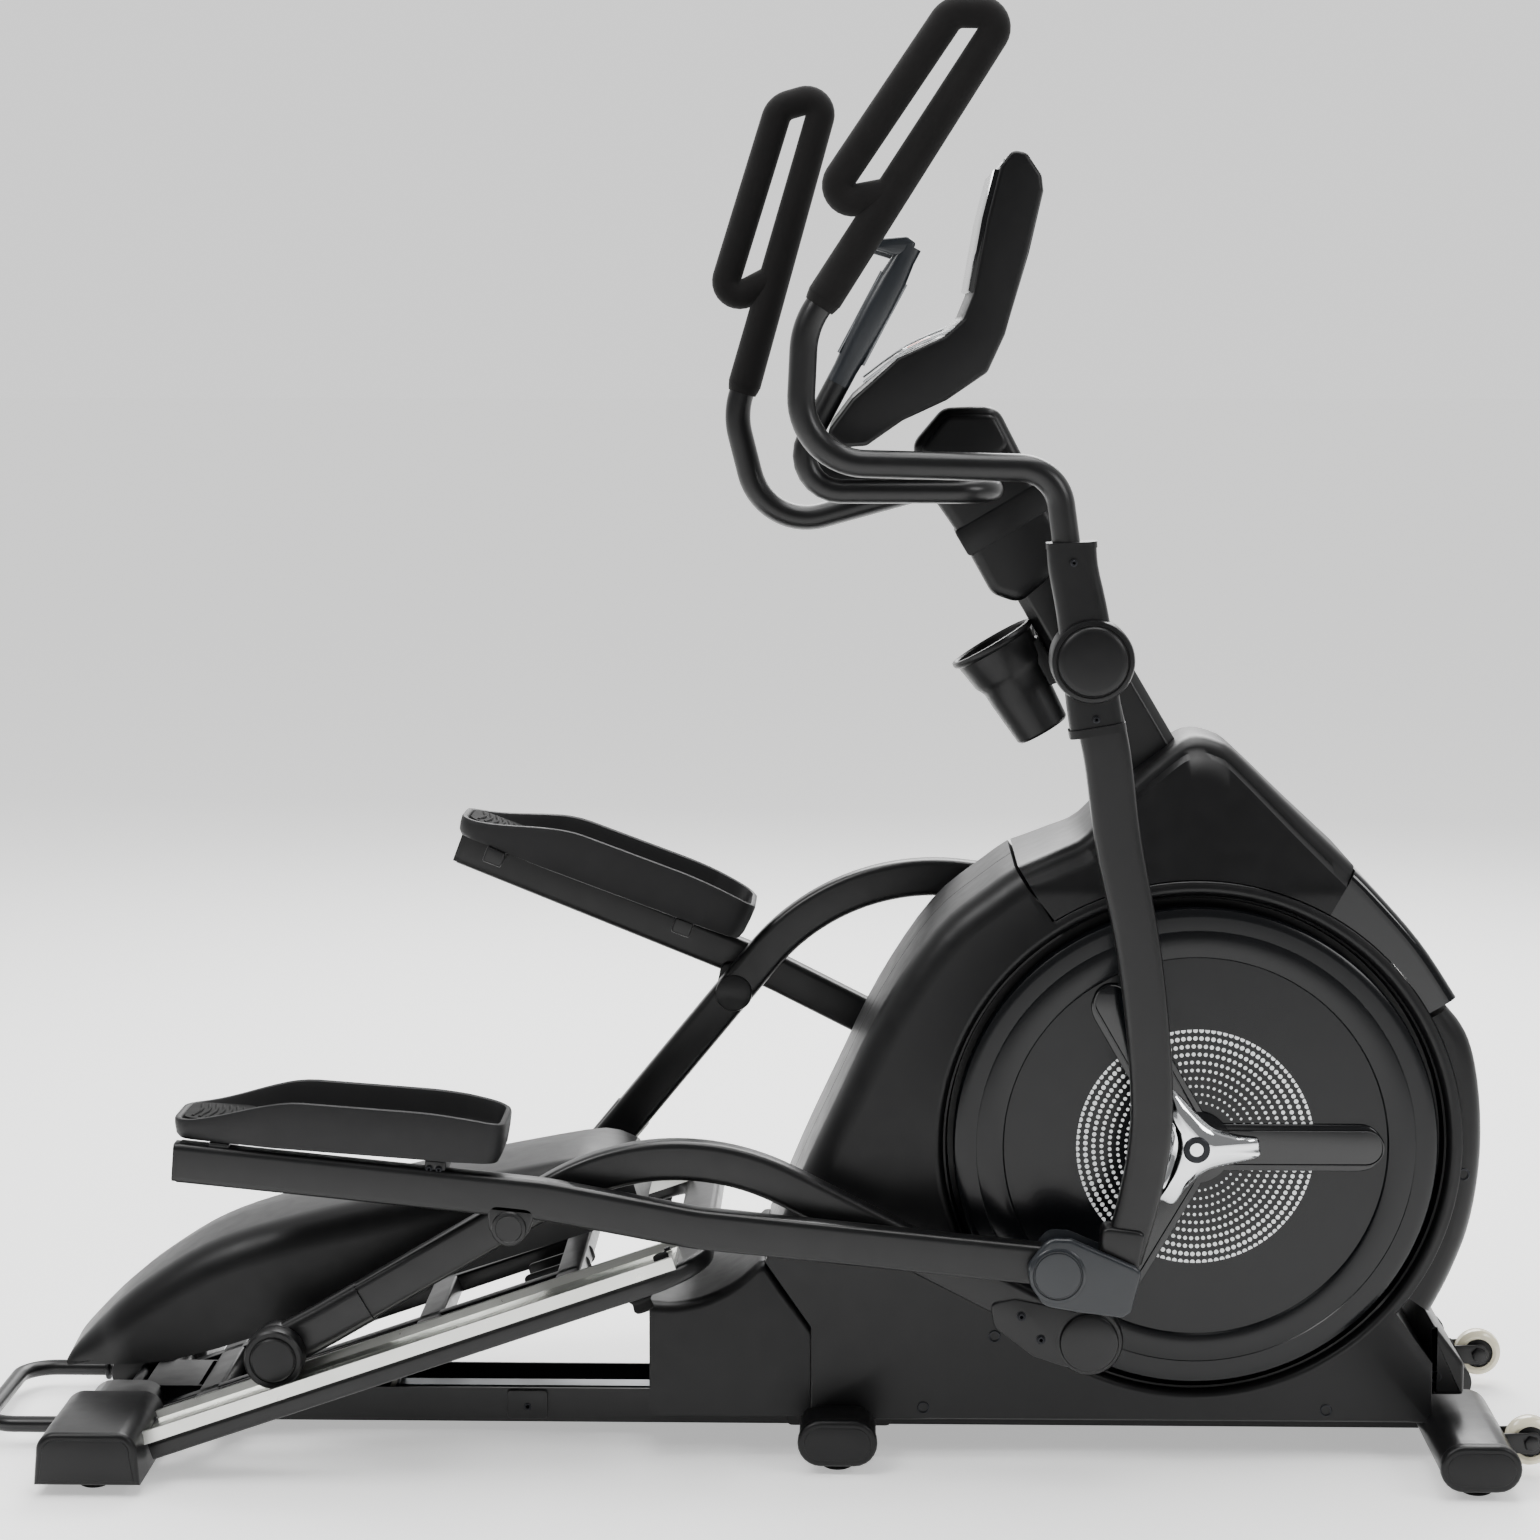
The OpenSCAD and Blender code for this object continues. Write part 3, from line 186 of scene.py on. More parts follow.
def fillet_path(points: Sequence[Vector], radii: Sequence[float], steps: int = 10) -> list[Vector]:
    """Rounds the corners of a path in space with true arcs.

    Args:
        points: the path's corners, in metres.
        radii: one radius for each corner, in metres; those of the two ends are not used.
        steps: pieces in each arc.

    Returns:
        The rounded path.
    """
    path = [points[0]]
    for i in range(1, len(points) - 1):
        p, u, v = points[i], points[i - 1] - points[i], points[i + 1] - points[i]
        turn = math.pi - u.angle(v)
        reach = min(radii[i] * math.tan(turn / 2), u.length * 0.499, v.length * 0.499)
        radius = reach / math.tan(turn / 2)
        u, v = u.normalized(), v.normalized()
        centre = p + (u + v).normalized() * (radius / math.cos(turn / 2))
        start, axis = p + u * reach - centre, (-u).cross(v).normalized()
        for k in range(steps + 1):
            path.append(centre + Matrix.Rotation(turn * k / steps, 3, axis) @ start)
    return path + [points[-1]]


# ---------------------------------------------------------------- mesh building


def as_piece(name: str, bm: bmesh.types.BMesh, crease: float = 32.0) -> bpy.types.Object:
    """Turns a bmesh into a named object with smooth faces and sharp creases.

    Args:
        name: the piece's name.
        bm: the mesh, in metres; it is freed.
        crease: edges that turn more than this many degrees stay sharp.

    Returns:
        The new object.
    """
    bmesh.ops.remove_doubles(bm, verts=bm.verts, dist=2e-6)
    bmesh.ops.dissolve_degenerate(bm, edges=bm.edges, dist=2e-6)
    bmesh.ops.recalc_face_normals(bm, faces=bm.faces)
    mesh = bpy.data.meshes.new(name)
    bm.to_mesh(mesh)
    bm.free()
    for face in mesh.polygons:
        face.use_smooth = True
    mesh.set_sharp_from_angle(angle=math.radians(crease))
    piece = bpy.data.objects.new(name, mesh)
    bpy.context.scene.collection.objects.link(piece)
    return piece


def add_loft(bm: bmesh.types.BMesh, rings: Sequence[Sequence[Vector]], caps: bool = True,
             loop: bool = False, closed: bool = True) -> None:
    """Joins rings of points into a surface.

    Args:
        bm: the mesh to add to.
        rings: rings with the same number of points.
        caps: whether the first and last ring are filled.
        loop: whether the last ring joins the first.
        closed: whether each ring's last point joins its first.
    """
    rows = [[bm.verts.new(p) for p in ring] for ring in rings]
    count = len(rows[0])
    pairs = list(zip(rows, rows[1:])) + ([(rows[-1], rows[0])] if loop else [])
    for low, high in pairs:
        for i in range(count if closed else count - 1):
            k = (i + 1) % count
            bm.faces.new((low[i], low[k], high[k], high[i]))
    if caps and not loop:
        bm.faces.new(rows[0])
        bm.faces.new(rows[-1][::-1])


def add_tube(bm: bmesh.types.BMesh, path: Sequence[Vector], section: Section,
             scale: Callable[[float], float] | None = None, across: Vector | None = None,
             caps: bool = True, loop: bool = False) -> None:
    """Sweeps a section along a path.

    Args:
        bm: the mesh to add to.
        path: the path's points, in metres.
        section: the section in millimetres; its second number runs along `across`.
        scale: the section's size as a function of the share of length passed.
        across: the direction square to the path's plane, +y unless given.
        caps: whether the ends are filled.
        loop: whether the path closes on itself.
    """
    side = across or Vector((0, 1, 0))
    total = sum((b - a).length for a, b in zip(path, path[1:]))
    passed, rings = 0.0, []
    for i, p in enumerate(path):
        before = path[i - 1] if i or loop else p
        after = path[(i + 1) % len(path)] if i < len(path) - 1 or loop else p
        into, out = (p - before), (after - p)
        along = (into.normalized() if into.length else out.normalized()) \
            + (out.normalized() if out.length else into.normalized())
        side = (side - along.normalized() * side.dot(along.normalized())).normalized()
        normal = side.cross(along).normalized() * -1
        grow = scale(passed / total) if scale else 1.0
        rings.append([p + (normal * u + side * v) * grow * MM for u, v in section])
        passed += out.length
    add_loft(bm, rings, caps, loop)


def dense(points: list[Flat], step: float) -> list[Flat]:
    """Adds points along the long sides of a closed outline, so that none is longer than `step`.

    Args:
        points: the outline's points.
        step: the longest side that may stay.

    Returns:
        The outline with more points and the same shape.
    """
    out = []
    for a, b in zip(points, points[1:] + points[:1]):
        count = max(1, math.ceil(math.dist(a, b) / step))
        out += [(a[0] + (b[0] - a[0]) * i / count, a[1] + (b[1] - a[1]) * i / count) for i in range(count)]
    return out


def inset_outline(outline: Sequence[Flat], pull: float) -> list[Flat]:
    """Moves an outline inwards.

    Args:
        outline: the closed outline.
        pull: how far each corner moves along its bisector.

    Returns:
        The outline with as many points as before.
    """
    if not pull:
        return list(outline)
    count = len(outline)
    area = sum(outline[i - 1][0] * outline[i][1] - outline[i][0] * outline[i - 1][1] for i in range(count))
    moved: list[Flat] = []
    for i in range(count):
        a, b, c = Vector(outline[i - 1]), Vector(outline[i]), Vector(outline[(i + 1) % count])
        u, v = (b - a).normalized(), (c - b).normalized()
        inward = Vector((-(u.y + v.y), u.x + v.x)).normalized() * math.copysign(1, area)
        moved.append(tuple(b + inward * pull))
    return moved


def add_plate(bm: bmesh.types.BMesh, outline: Sequence[Flat], y0: float, y1: float,
              edge: float = 0.0, steps: int = 3) -> None:
    """Adds a flat plate that lies in the side plane.

    Args:
        bm: the mesh to add to.
        outline: the plate's outline.
        y0: where one face lies along y.
        y1: where the other face lies.
        edge: radius of the rims; 0 keeps them sharp.
        steps: pieces in each rounded rim.
    """
    low, high = min(y0, y1), max(y0, y1)
    turns = quarter(steps) if edge else [math.pi / 2]
    rim = [(edge * (1 - math.cos(a)), edge * (1 - math.sin(a))) for a in turns]
    levels = [(low + depth, pull) for depth, pull in rim] + [(high - depth, pull) for depth, pull in reversed(rim)]
    add_loft(bm, [[spot(q, y) for q in inset_outline(outline, pull)] for y, pull in levels])


def add_lathe(bm: bmesh.types.BMesh, centre: Vector, axis: Vector, profile: Sequence[Flat],
              count: int = 48) -> None:
    """Turns a profile round an axis.

    Args:
        bm: the mesh to add to.
        centre: where the axis starts, in metres.
        axis: the axis's direction.
        profile: (radius, distance along the axis) points in millimetres.
        count: faces round the axis.
    """
    axis = axis.normalized()
    one = axis.orthogonal().normalized()
    two = axis.cross(one)
    rings = []
    for radius, along in profile:
        rings.append([centre + (axis * along + (one * math.cos(t) + two * math.sin(t)) * max(radius, 0.05)) * MM
                      for t in (2 * math.pi * i / count for i in range(count))])
    add_loft(bm, rings)


def knob(radius: float, depth: float, edge: float = 2.0) -> list[Flat]:
    """Returns the profile of a plain turned disc with rounded rims."""
    return [(radius - edge, 0), (radius - edge * 0.3, edge * 0.3), (radius, edge), (radius, depth - edge),
            (radius - edge * 0.3, depth - edge * 0.3), (radius - edge, depth)]


# ---------------------------------------------------------------- finishes


# A mix node has its sockets once for each data type; these are the ones for colours
MIX_A, MIX_B, MIX_RESULT = 6, 7, 2


def linear(hex_colour: str) -> tuple[float, float, float, float]:
    """Turns an sRGB hex colour into the linear numbers that a shader takes."""
    parts = [int(hex_colour[i:i + 2], 16) / 255 for i in (1, 3, 5)]
    return (*[c / 12.92 if c <= 0.04045 else ((c + 0.055) / 1.055) ** 2.4 for c in parts], 1.0)


def add(tree: bpy.types.NodeTree, kind: str, settings: dict[str, object] | None = None,
        links: dict[str | int, object] | None = None) -> bpy.types.Node:
    """Adds a node, sets its properties or socket values, and links its inputs.

    Args:
        tree: the material's node tree.
        kind: the node's type name.
        settings: property names or input names to values.
        links: input names or numbers to output sockets or plain values.

    Returns:
        The new node.
    """
    node = tree.nodes.new(kind)
    for name, value in (settings or {}).items():
        if hasattr(node, name):
            setattr(node, name, value)
        else:
            node.inputs[name].default_value = value
    for name, value in (links or {}).items():
        if isinstance(value, bpy.types.NodeSocket):
            tree.links.new(value, node.inputs[name])
        else:
            node.inputs[name].default_value = value
    return node


@dataclass(frozen=True)
class Finish:
    """A surface finish: what the material is made of and how its surface was made.

    Grain is a fine relief, spacing and depth in millimetres; wear lightens or dulls it in soft
    patches, and a rim highlight is left to the rounded edges of each mesh.
    """

    name: str
    colour: str
    slot: str
    roughness: float = 0.5
    metallic: float = 0.0
    ior: float = 1.5
    gleam: float = 0.5
    coat: float = 0.0
    coat_roughness: float = 0.1
    sheen: float = 0.0
    grain: float = 1.0
    grain_depth: float = 0.05
    patch: float = 60.0
    spread: float = 0.12
    rough_spread: float = 0.08

    def base_colour(self, tree: bpy.types.NodeTree, place: bpy.types.NodeSocket) -> bpy.types.NodeSocket:
        """Returns the colour with soft patches a little lighter and darker than the base.

        Args:
            tree: the material's node tree.
            place: the point's place on the object.

        Returns:
            The colour's socket.
        """
        noise = add(tree, "ShaderNodeTexNoise", {"Scale": 1 / (self.patch * MM), "Detail": 4.0}, {"Vector": place})
        ramp = add(tree, "ShaderNodeValToRGB", links={"Fac": noise.outputs["Fac"]})
        base = linear(self.colour)
        for stop, at, gain in zip(ramp.color_ramp.elements, (0.3, 0.7), (1 - self.spread, 1 + self.spread)):
            stop.position = at
            stop.color = (*[min(c * gain, 1.0) for c in base[:3]], 1.0)
        return ramp.outputs["Color"]

    def relief(self, tree: bpy.types.NodeTree, place: bpy.types.NodeSocket) -> bpy.types.NodeSocket | None:
        """Returns the height of the grain, 0 to 1, or nothing where the surface is polished.

        Args:
            tree: the material's node tree.
            place: the point's place on the object.

        Returns:
            The height's socket, or None.
        """
        if not self.grain_depth:
            return None
        return add(tree, "ShaderNodeTexNoise", {"Scale": 1 / (self.grain * MM), "Detail": 3.0, "Roughness": 0.6},
                   {"Vector": place}).outputs["Fac"]

    def build(self) -> bpy.types.Material:
        """Makes the material, or returns the one made before.

        Returns:
            The material.
        """
        made = bpy.data.materials.get(self.name)
        if made:
            return made
        material = bpy.data.materials.new(self.name)
        material.use_nodes = True
        tree = material.node_tree
        shader = tree.nodes["Principled BSDF"]
        numbers = {"Metallic": self.metallic, "Coat Weight": self.coat, "Coat Roughness": self.coat_roughness,
                   "Sheen Weight": self.sheen}
        if not self.metallic:
            numbers["IOR"] = self.ior
            numbers["Specular IOR Level"] = self.gleam
        for name, value in numbers.items():
            shader.inputs[name].default_value = value
        place = add(tree, "ShaderNodeTexCoord").outputs["Object"]
        tree.links.new(self.base_colour(tree, place), shader.inputs["Base Color"])
        rough = add(tree, "ShaderNodeTexNoise", {"Scale": 1 / (self.patch * 0.4 * MM), "Detail": 5.0},
                    {"Vector": place})
        span = add(tree, "ShaderNodeMapRange", {"To Min": max(self.roughness - self.rough_spread, 0.02),
                                                "To Max": min(self.roughness + self.rough_spread, 1.0)},
                   {"Value": rough.outputs["Fac"]})
        tree.links.new(span.outputs["Result"], shader.inputs["Roughness"])
        height = self.relief(tree, place)
        if height:
            bump = add(tree, "ShaderNodeBump", {"Strength": 0.6, "Distance": self.grain_depth * MM},
                       {"Height": height})
            tree.links.new(bump.outputs["Normal"], shader.inputs["Normal"])
        return material


@dataclass(frozen=True)
class BrushedFinish(Finish):
    """A metal drawn or brushed along x, so its fine lines stretch that way."""

    stretch: float = 60.0

    def relief(self, tree: bpy.types.NodeTree, place: bpy.types.NodeSocket) -> bpy.types.NodeSocket | None:
        """Returns fine lines along x."""
        lines = add(tree, "ShaderNodeMapping", {"Scale": (1 / self.stretch, 1.0, 1.0)}, {"Vector": place})
        return add(tree, "ShaderNodeTexNoise", {"Scale": 1 / (self.grain * MM), "Detail": 2.0},
                   {"Vector": lines.outputs["Vector"]}).outputs["Fac"]


@dataclass(frozen=True)
class CellFinish(Finish):
    """A surface of small round cells, such as open foam or a pebbled mould."""

    def relief(self, tree: bpy.types.NodeTree, place: bpy.types.NodeSocket) -> bpy.types.NodeSocket | None:
        """Returns the cells' height."""
        return add(tree, "ShaderNodeTexVoronoi", {"Scale": 1 / (self.grain * MM), "feature": "SMOOTH_F1"},
                   {"Vector": place}).outputs["Distance"]


@dataclass(frozen=True)
class DottedFinish(Finish):
    """Gloss black moulding printed with rings of white dots round the crank.

    The dots grow outwards, and the ribs stand in front of them.
    """

    centre: Flat = (0.0, 0.0)
    first: float = 57.0
    last: float = 150.0
    pitch: float = 10.2
    gap: float = 7.6
    dot: float = 1.5
    growth: float = 0.016
    dot_colour: str = "#e8eaea"

    def base_colour(self, tree: bpy.types.NodeTree, place: bpy.types.NodeSocket) -> bpy.types.NodeSocket:
        """Returns black with white dots on rings of equal spacing.

        Args:
            tree: the material's node tree.
            place: the point's place on the object.

        Returns:
            The colour's socket.
        """
        def maths(operation: str, a: object, b: object = 0.0) -> bpy.types.NodeSocket:
            """Returns the result of one sum."""
            return add(tree, "ShaderNodeMath", {"operation": operation}, {0: a, 1: b}).outputs[0]

        parts = add(tree, "ShaderNodeSeparateXYZ", links={0: place})
        x = maths("SUBTRACT", maths("DIVIDE", parts.outputs["X"], MM), self.centre[0])
        z = maths("SUBTRACT", maths("DIVIDE", parts.outputs["Z"], MM), self.centre[1])
        radius = maths("SQRT", maths("ADD", maths("MULTIPLY", x, x), maths("MULTIPLY", z, z)))
        ring = maths("ROUND", maths("DIVIDE", maths("SUBTRACT", radius, self.first), self.pitch))
        ring_r = maths("ADD", maths("MULTIPLY", ring, self.pitch), self.first)
        dots = maths("ROUND", maths("DIVIDE", maths("MULTIPLY", ring_r, 2 * math.pi), self.gap))
        turn = maths("MULTIPLY", maths("DIVIDE", maths("ARCTAN2", z, x), 2 * math.pi), dots)
        off = maths("SUBTRACT", maths("FRACT", maths("ADD", turn, 1000.5)), 0.5)
        across = maths("MULTIPLY", off, maths("DIVIDE", maths("MULTIPLY", ring_r, 2 * math.pi), dots))
        away = maths("SUBTRACT", radius, ring_r)
        far = maths("SQRT", maths("ADD", maths("MULTIPLY", across, across), maths("MULTIPLY", away, away)))
        size = maths("ADD", maths("MULTIPLY", maths("SUBTRACT", ring_r, self.first), self.growth), self.dot)
        in_dot = maths("LESS_THAN", far, size)
        in_band = maths("MULTIPLY", maths("GREATER_THAN", ring, -0.5), maths("LESS_THAN", radius, self.last))
        mask = maths("MULTIPLY", in_dot, in_band)
        mix = add(tree, "ShaderNodeMix", {"data_type": "RGBA"}, {
            "Factor": mask, MIX_A: super().base_colour(tree, place), MIX_B: linear(self.dot_colour)})
        return mix.outputs[MIX_RESULT]


class Finishes:
    """Every finish of the machine."""

    # Powder-coated mild steel: satin, with a faint orange peel and soft broad highlights
    POWDER = Finish("powder_coated_steel", "#0c0c0d", "black_steel", 0.34, ior=1.52, gleam=0.3, coat=0.1,
                    coat_roughness=0.25,
                    grain=2.2, grain_depth=0.06)
    # Moulded ABS: matte black with a fine spark-eroded grain
    SHELL = CellFinish("moulded_abs", "#0c0c0d", "shell_plastic", 0.38, ior=1.53, gleam=0.25, grain=1.1,
                       grain_depth=0.035)
    # Polished ABS: piano black that mirrors the lights
    GLOSS = Finish("polished_abs", "#08090b", "gloss_black", 0.12, ior=1.53, gleam=0.35, coat=0.3, coat_roughness=0.04,
                   grain_depth=0.0, rough_spread=0.03)
    # Closed-cell NBR foam: very matte, pebbled, with a little sheen
    FOAM = CellFinish("nbr_foam", "#100f0f", "foam", 0.95, ior=1.4, gleam=0.2, sheen=0.08, grain=1.6, grain_depth=0.22)
    # Anodised aluminium, extruded: pale satin with fine drawn lines
    TRACK = BrushedFinish("anodised_aluminium", "#d3d4cf", "aluminium", 0.3, metallic=1.0, grain=0.8,
                          grain_depth=0.03, spread=0.05)
    # Chrome plate on ABS: a bright mirror
    CHROME = Finish("chrome_plate", "#e6e8ea", "chrome", 0.06, metallic=1.0, grain_depth=0.0, spread=0.02,
                    rough_spread=0.02)
    # Turned carbon steel with a trace of oil
    STEEL = BrushedFinish("turned_steel", "#8d8f92", "steel", 0.32, metallic=1.0, grain=0.6, grain_depth=0.03)
    # Fasteners blackened by oxide: dull, nearly black metal
    BOLT = Finish("black_oxide_steel", "#26272a", "steel", 0.38, metallic=0.8, grain=0.8, grain_depth=0.03)
    # Grey cast iron, machined on its rim
    IRON = Finish("machined_cast_iron", "#55575a", "cast_iron", 0.45, metallic=1.0, grain=1.5, grain_depth=0.08)
    # Natural rubber pads, belts and stops
    RUBBER = CellFinish("natural_rubber", "#161616", "rubber", 0.82, ior=1.52, gleam=0.15, grain=1.2, grain_depth=0.08)
    # Sintered bronze bushes
    BRONZE = Finish("sintered_bronze", "#9a7b4a", "bronze", 0.4, metallic=1.0, grain=0.7, grain_depth=0.03)
    # Glass-filled nylon pedals: charcoal, coarsely textured for grip
    PEDAL = CellFinish("glass_filled_nylon", "#141415", "pedal_plastic", 0.55, ior=1.53, gleam=0.25, grain=1.5,
                       grain_depth=0.09)
    # Satin ABS joint covers, bluish beside the powder coat
    COVER = CellFinish("satin_abs", "#1d2024", "cover_grey", 0.32, ior=1.53, gleam=0.35, coat=0.15, coat_roughness=0.2,
                       grain=1.0, grain_depth=0.02)
    # Polyurethane lift rollers, warm grey and waxy
    ROLLER = Finish("grey_polyurethane", "#6b6862", "rubber", 0.5, ior=1.5, grain=1.5, grain_depth=0.04)
    # Cast polyurethane wheels, amber and a little cloudy
    WHEEL = Finish("cast_polyurethane", "#d9d2b8", "clear_wheel", 0.2, ior=1.5, coat=0.6, coat_roughness=0.08,
                   grain_depth=0.0)
    # Pad-printed orange and silver keys
    ORANGE = Finish("orange_key_plastic", "#cf4a1c", "key_orange", 0.35, ior=1.5, grain=0.8, grain_depth=0.02)
    SILVER = Finish("silver_key_plastic", "#b9bcbe", "key_silver", 0.3, metallic=0.4, ior=1.5, grain=0.8,
                    grain_depth=0.02)


def dress(piece: bpy.types.Object, finish: Finish, body: str = "root", *nodes: str) -> bpy.types.Object:
    """Gives a piece its finish, its body and the CAD nodes that it stands for.

    Args:
        piece: the object.
        finish: its finish.
        body: the body that it rides on.
        nodes: the CAD nodes that it stands for.

    Returns:
        The same object.
    """
    piece.data.materials.append(finish.build())
    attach(piece, body)
    if nodes:
        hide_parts(*nodes)
    LOG.info("%s: %s, rides on %s", piece.name, finish.name, body)
    return piece


JOINTS = {joint["name"]: joint for joint in frame["joints"]}


def pivot(joint: str) -> Flat:
    """Returns a hinge's place in the side plane, in millimetres."""
    x, _, z = JOINTS[joint]["pos_m"]
    return (x / MM, z / MM)


CRANK = pivot("crank_turn")
SWING = pivot("right_arm_swing")
HINGE = pivot("ramp_tilt")
MAST_LEAN = 120.7
HOUSE_Y = 155.0
ARM_Y = 262.0
LINK_Y = 210.0
BEAM_Y = 60.0
FOOT_X = (HINGE[0], 107.0, 900.0)
Y_AXIS = Vector((0, 1, 0))
Z_AXIS = Vector((0, 0, 1))


def heading(a: Flat, b: Flat) -> float:
    """Returns the angle from one point to another, in degrees from +x towards +z."""
    return math.degrees(math.atan2(b[1] - a[1], b[0] - a[0]))


def add_knob(bm: bmesh.types.BMesh, at: Flat, side: Side, y0: float, y1: float, radius: float,
             edge: float = 2.0, count: int = 40) -> None:
    """Adds a turned disc whose axis runs across the machine, from |y| = y0 out to y1."""
    add_lathe(bm, spot(at, side.value * y0), Y_AXIS * side.value, knob(radius, y1 - y0, edge), count)


def add_screw(bm: bmesh.types.BMesh, at: Vector, axis: Vector, radius: float) -> None:
    """Adds a socket-head screw that stands on a surface, its hexagon socket sunk in.

    Args:
        bm: the mesh to add to.
        at: where the head meets the surface, in metres.
        axis: the way the head points.
        radius: the head's radius.
    """
    head = [(radius * 1.35, 0), (radius * 1.35, 1.2), (radius, 1.6), (radius, radius * 0.8), (radius * 0.85, radius),
            (radius * 0.55, radius)]
    add_lathe(bm, at, axis, head, 20)
    add_lathe(bm, at, axis, [(radius * 0.55, radius), (radius * 0.5, radius * 0.4), (0.1, radius * 0.35)], 6)


class Studio:
    """The pale floor, the soft lights and the camera."""

    camera_at = (0.1337, -4.745, 1.4496)
    camera_turn = (82.99, 0.0, 1.414)
    lens = 86.5
    floor_size = 120.0
    sky_near = 0.25
    sky_far = 1.2

    def build(self) -> None:
        """Makes the camera, the floor, the sky and the lights."""
        lens = bpy.data.cameras.new("camera")
        lens.lens, lens.sensor_width = self.lens, 36.0
        camera = bpy.data.objects.new("camera", lens)
        camera.location = self.camera_at
        camera.rotation_euler = [math.radians(a) for a in self.camera_turn]
        bpy.context.scene.collection.objects.link(camera)
        bpy.context.scene.camera = camera
        self.lay_floor()
        self.light("key", (-2.6, -2.2, 4.4), 2.0, 150.0)
        self.light("fill", (3.6, -2.2, 3.0), 1.6, 70.0)
        self.light("back", (0.5, 3.6, 3.4), 3.0, 260.0)
        self.light("top", (0.2, 0.2, 4.6), 3.0, 210.0)

    def lay_floor(self) -> None:
        """Lays a plain pale floor and hangs a pale sky round it."""
        bm = bmesh.new()
        half = self.floor_size / 2
        bm.faces.new([bm.verts.new((x * half, y * half, -0.0005)) for x, y in ((-1, -1), (1, -1), (1, 1), (-1, 1))])
        floor = as_piece("floor", bm)
        paint = bpy.data.materials.new("pale_floor")
        paint.use_nodes = True
        shader = paint.node_tree.nodes["Principled BSDF"]
        shader.inputs["Base Color"].default_value = linear("#f4f4f3")
        shader.inputs["Roughness"].default_value = 0.75
        # A faint glow lifts the far floor to the sky's tone, so no horizon shows
        shader.inputs["Emission Color"].default_value = (1.0, 1.0, 1.0, 1.0)
        shader.inputs["Emission Strength"].default_value = 0.52
        floor.data.materials.append(paint)
        world = bpy.data.worlds.new("sky")
        world.use_nodes = True
        tree = world.node_tree
        sky = tree.nodes["Background"]
        sky.inputs["Color"].default_value = (1.0, 1.0, 1.0, 1.0)
        place = add(tree, "ShaderNodeTexCoord").outputs["Generated"]
        across = add(tree, "ShaderNodeSeparateXYZ", links={"Vector": place}).outputs["Y"]
        fade = add(tree, "ShaderNodeMapRange", {"From Min": -0.35, "From Max": 0.55, "To Min": self.sky_near,
                                                "To Max": self.sky_far}, {"Value": across})
        tree.links.new(fade.outputs["Result"], sky.inputs["Strength"])
        bpy.context.scene.world = world

    def light(self, name: str, at: tuple[float, float, float], size: float, power: float) -> None:
        """Hangs a square softbox that faces the machine's middle.

        Args:
            name: the lamp's name.
            at: its place, in metres.
            size: the length of its side, in metres.
            power: its power, in watts.
        """
        lamp = bpy.data.lights.new(name, "AREA")
        lamp.size, lamp.energy = size, power
        holder = bpy.data.objects.new(name, lamp)
        holder.location = at
        holder.rotation_euler = (Vector((0.1, 0, 0.8)) - Vector(at)).to_track_quat("-Z", "Y").to_euler()
        bpy.context.scene.collection.objects.link(holder)


# ---------------------------------------------------------------- base


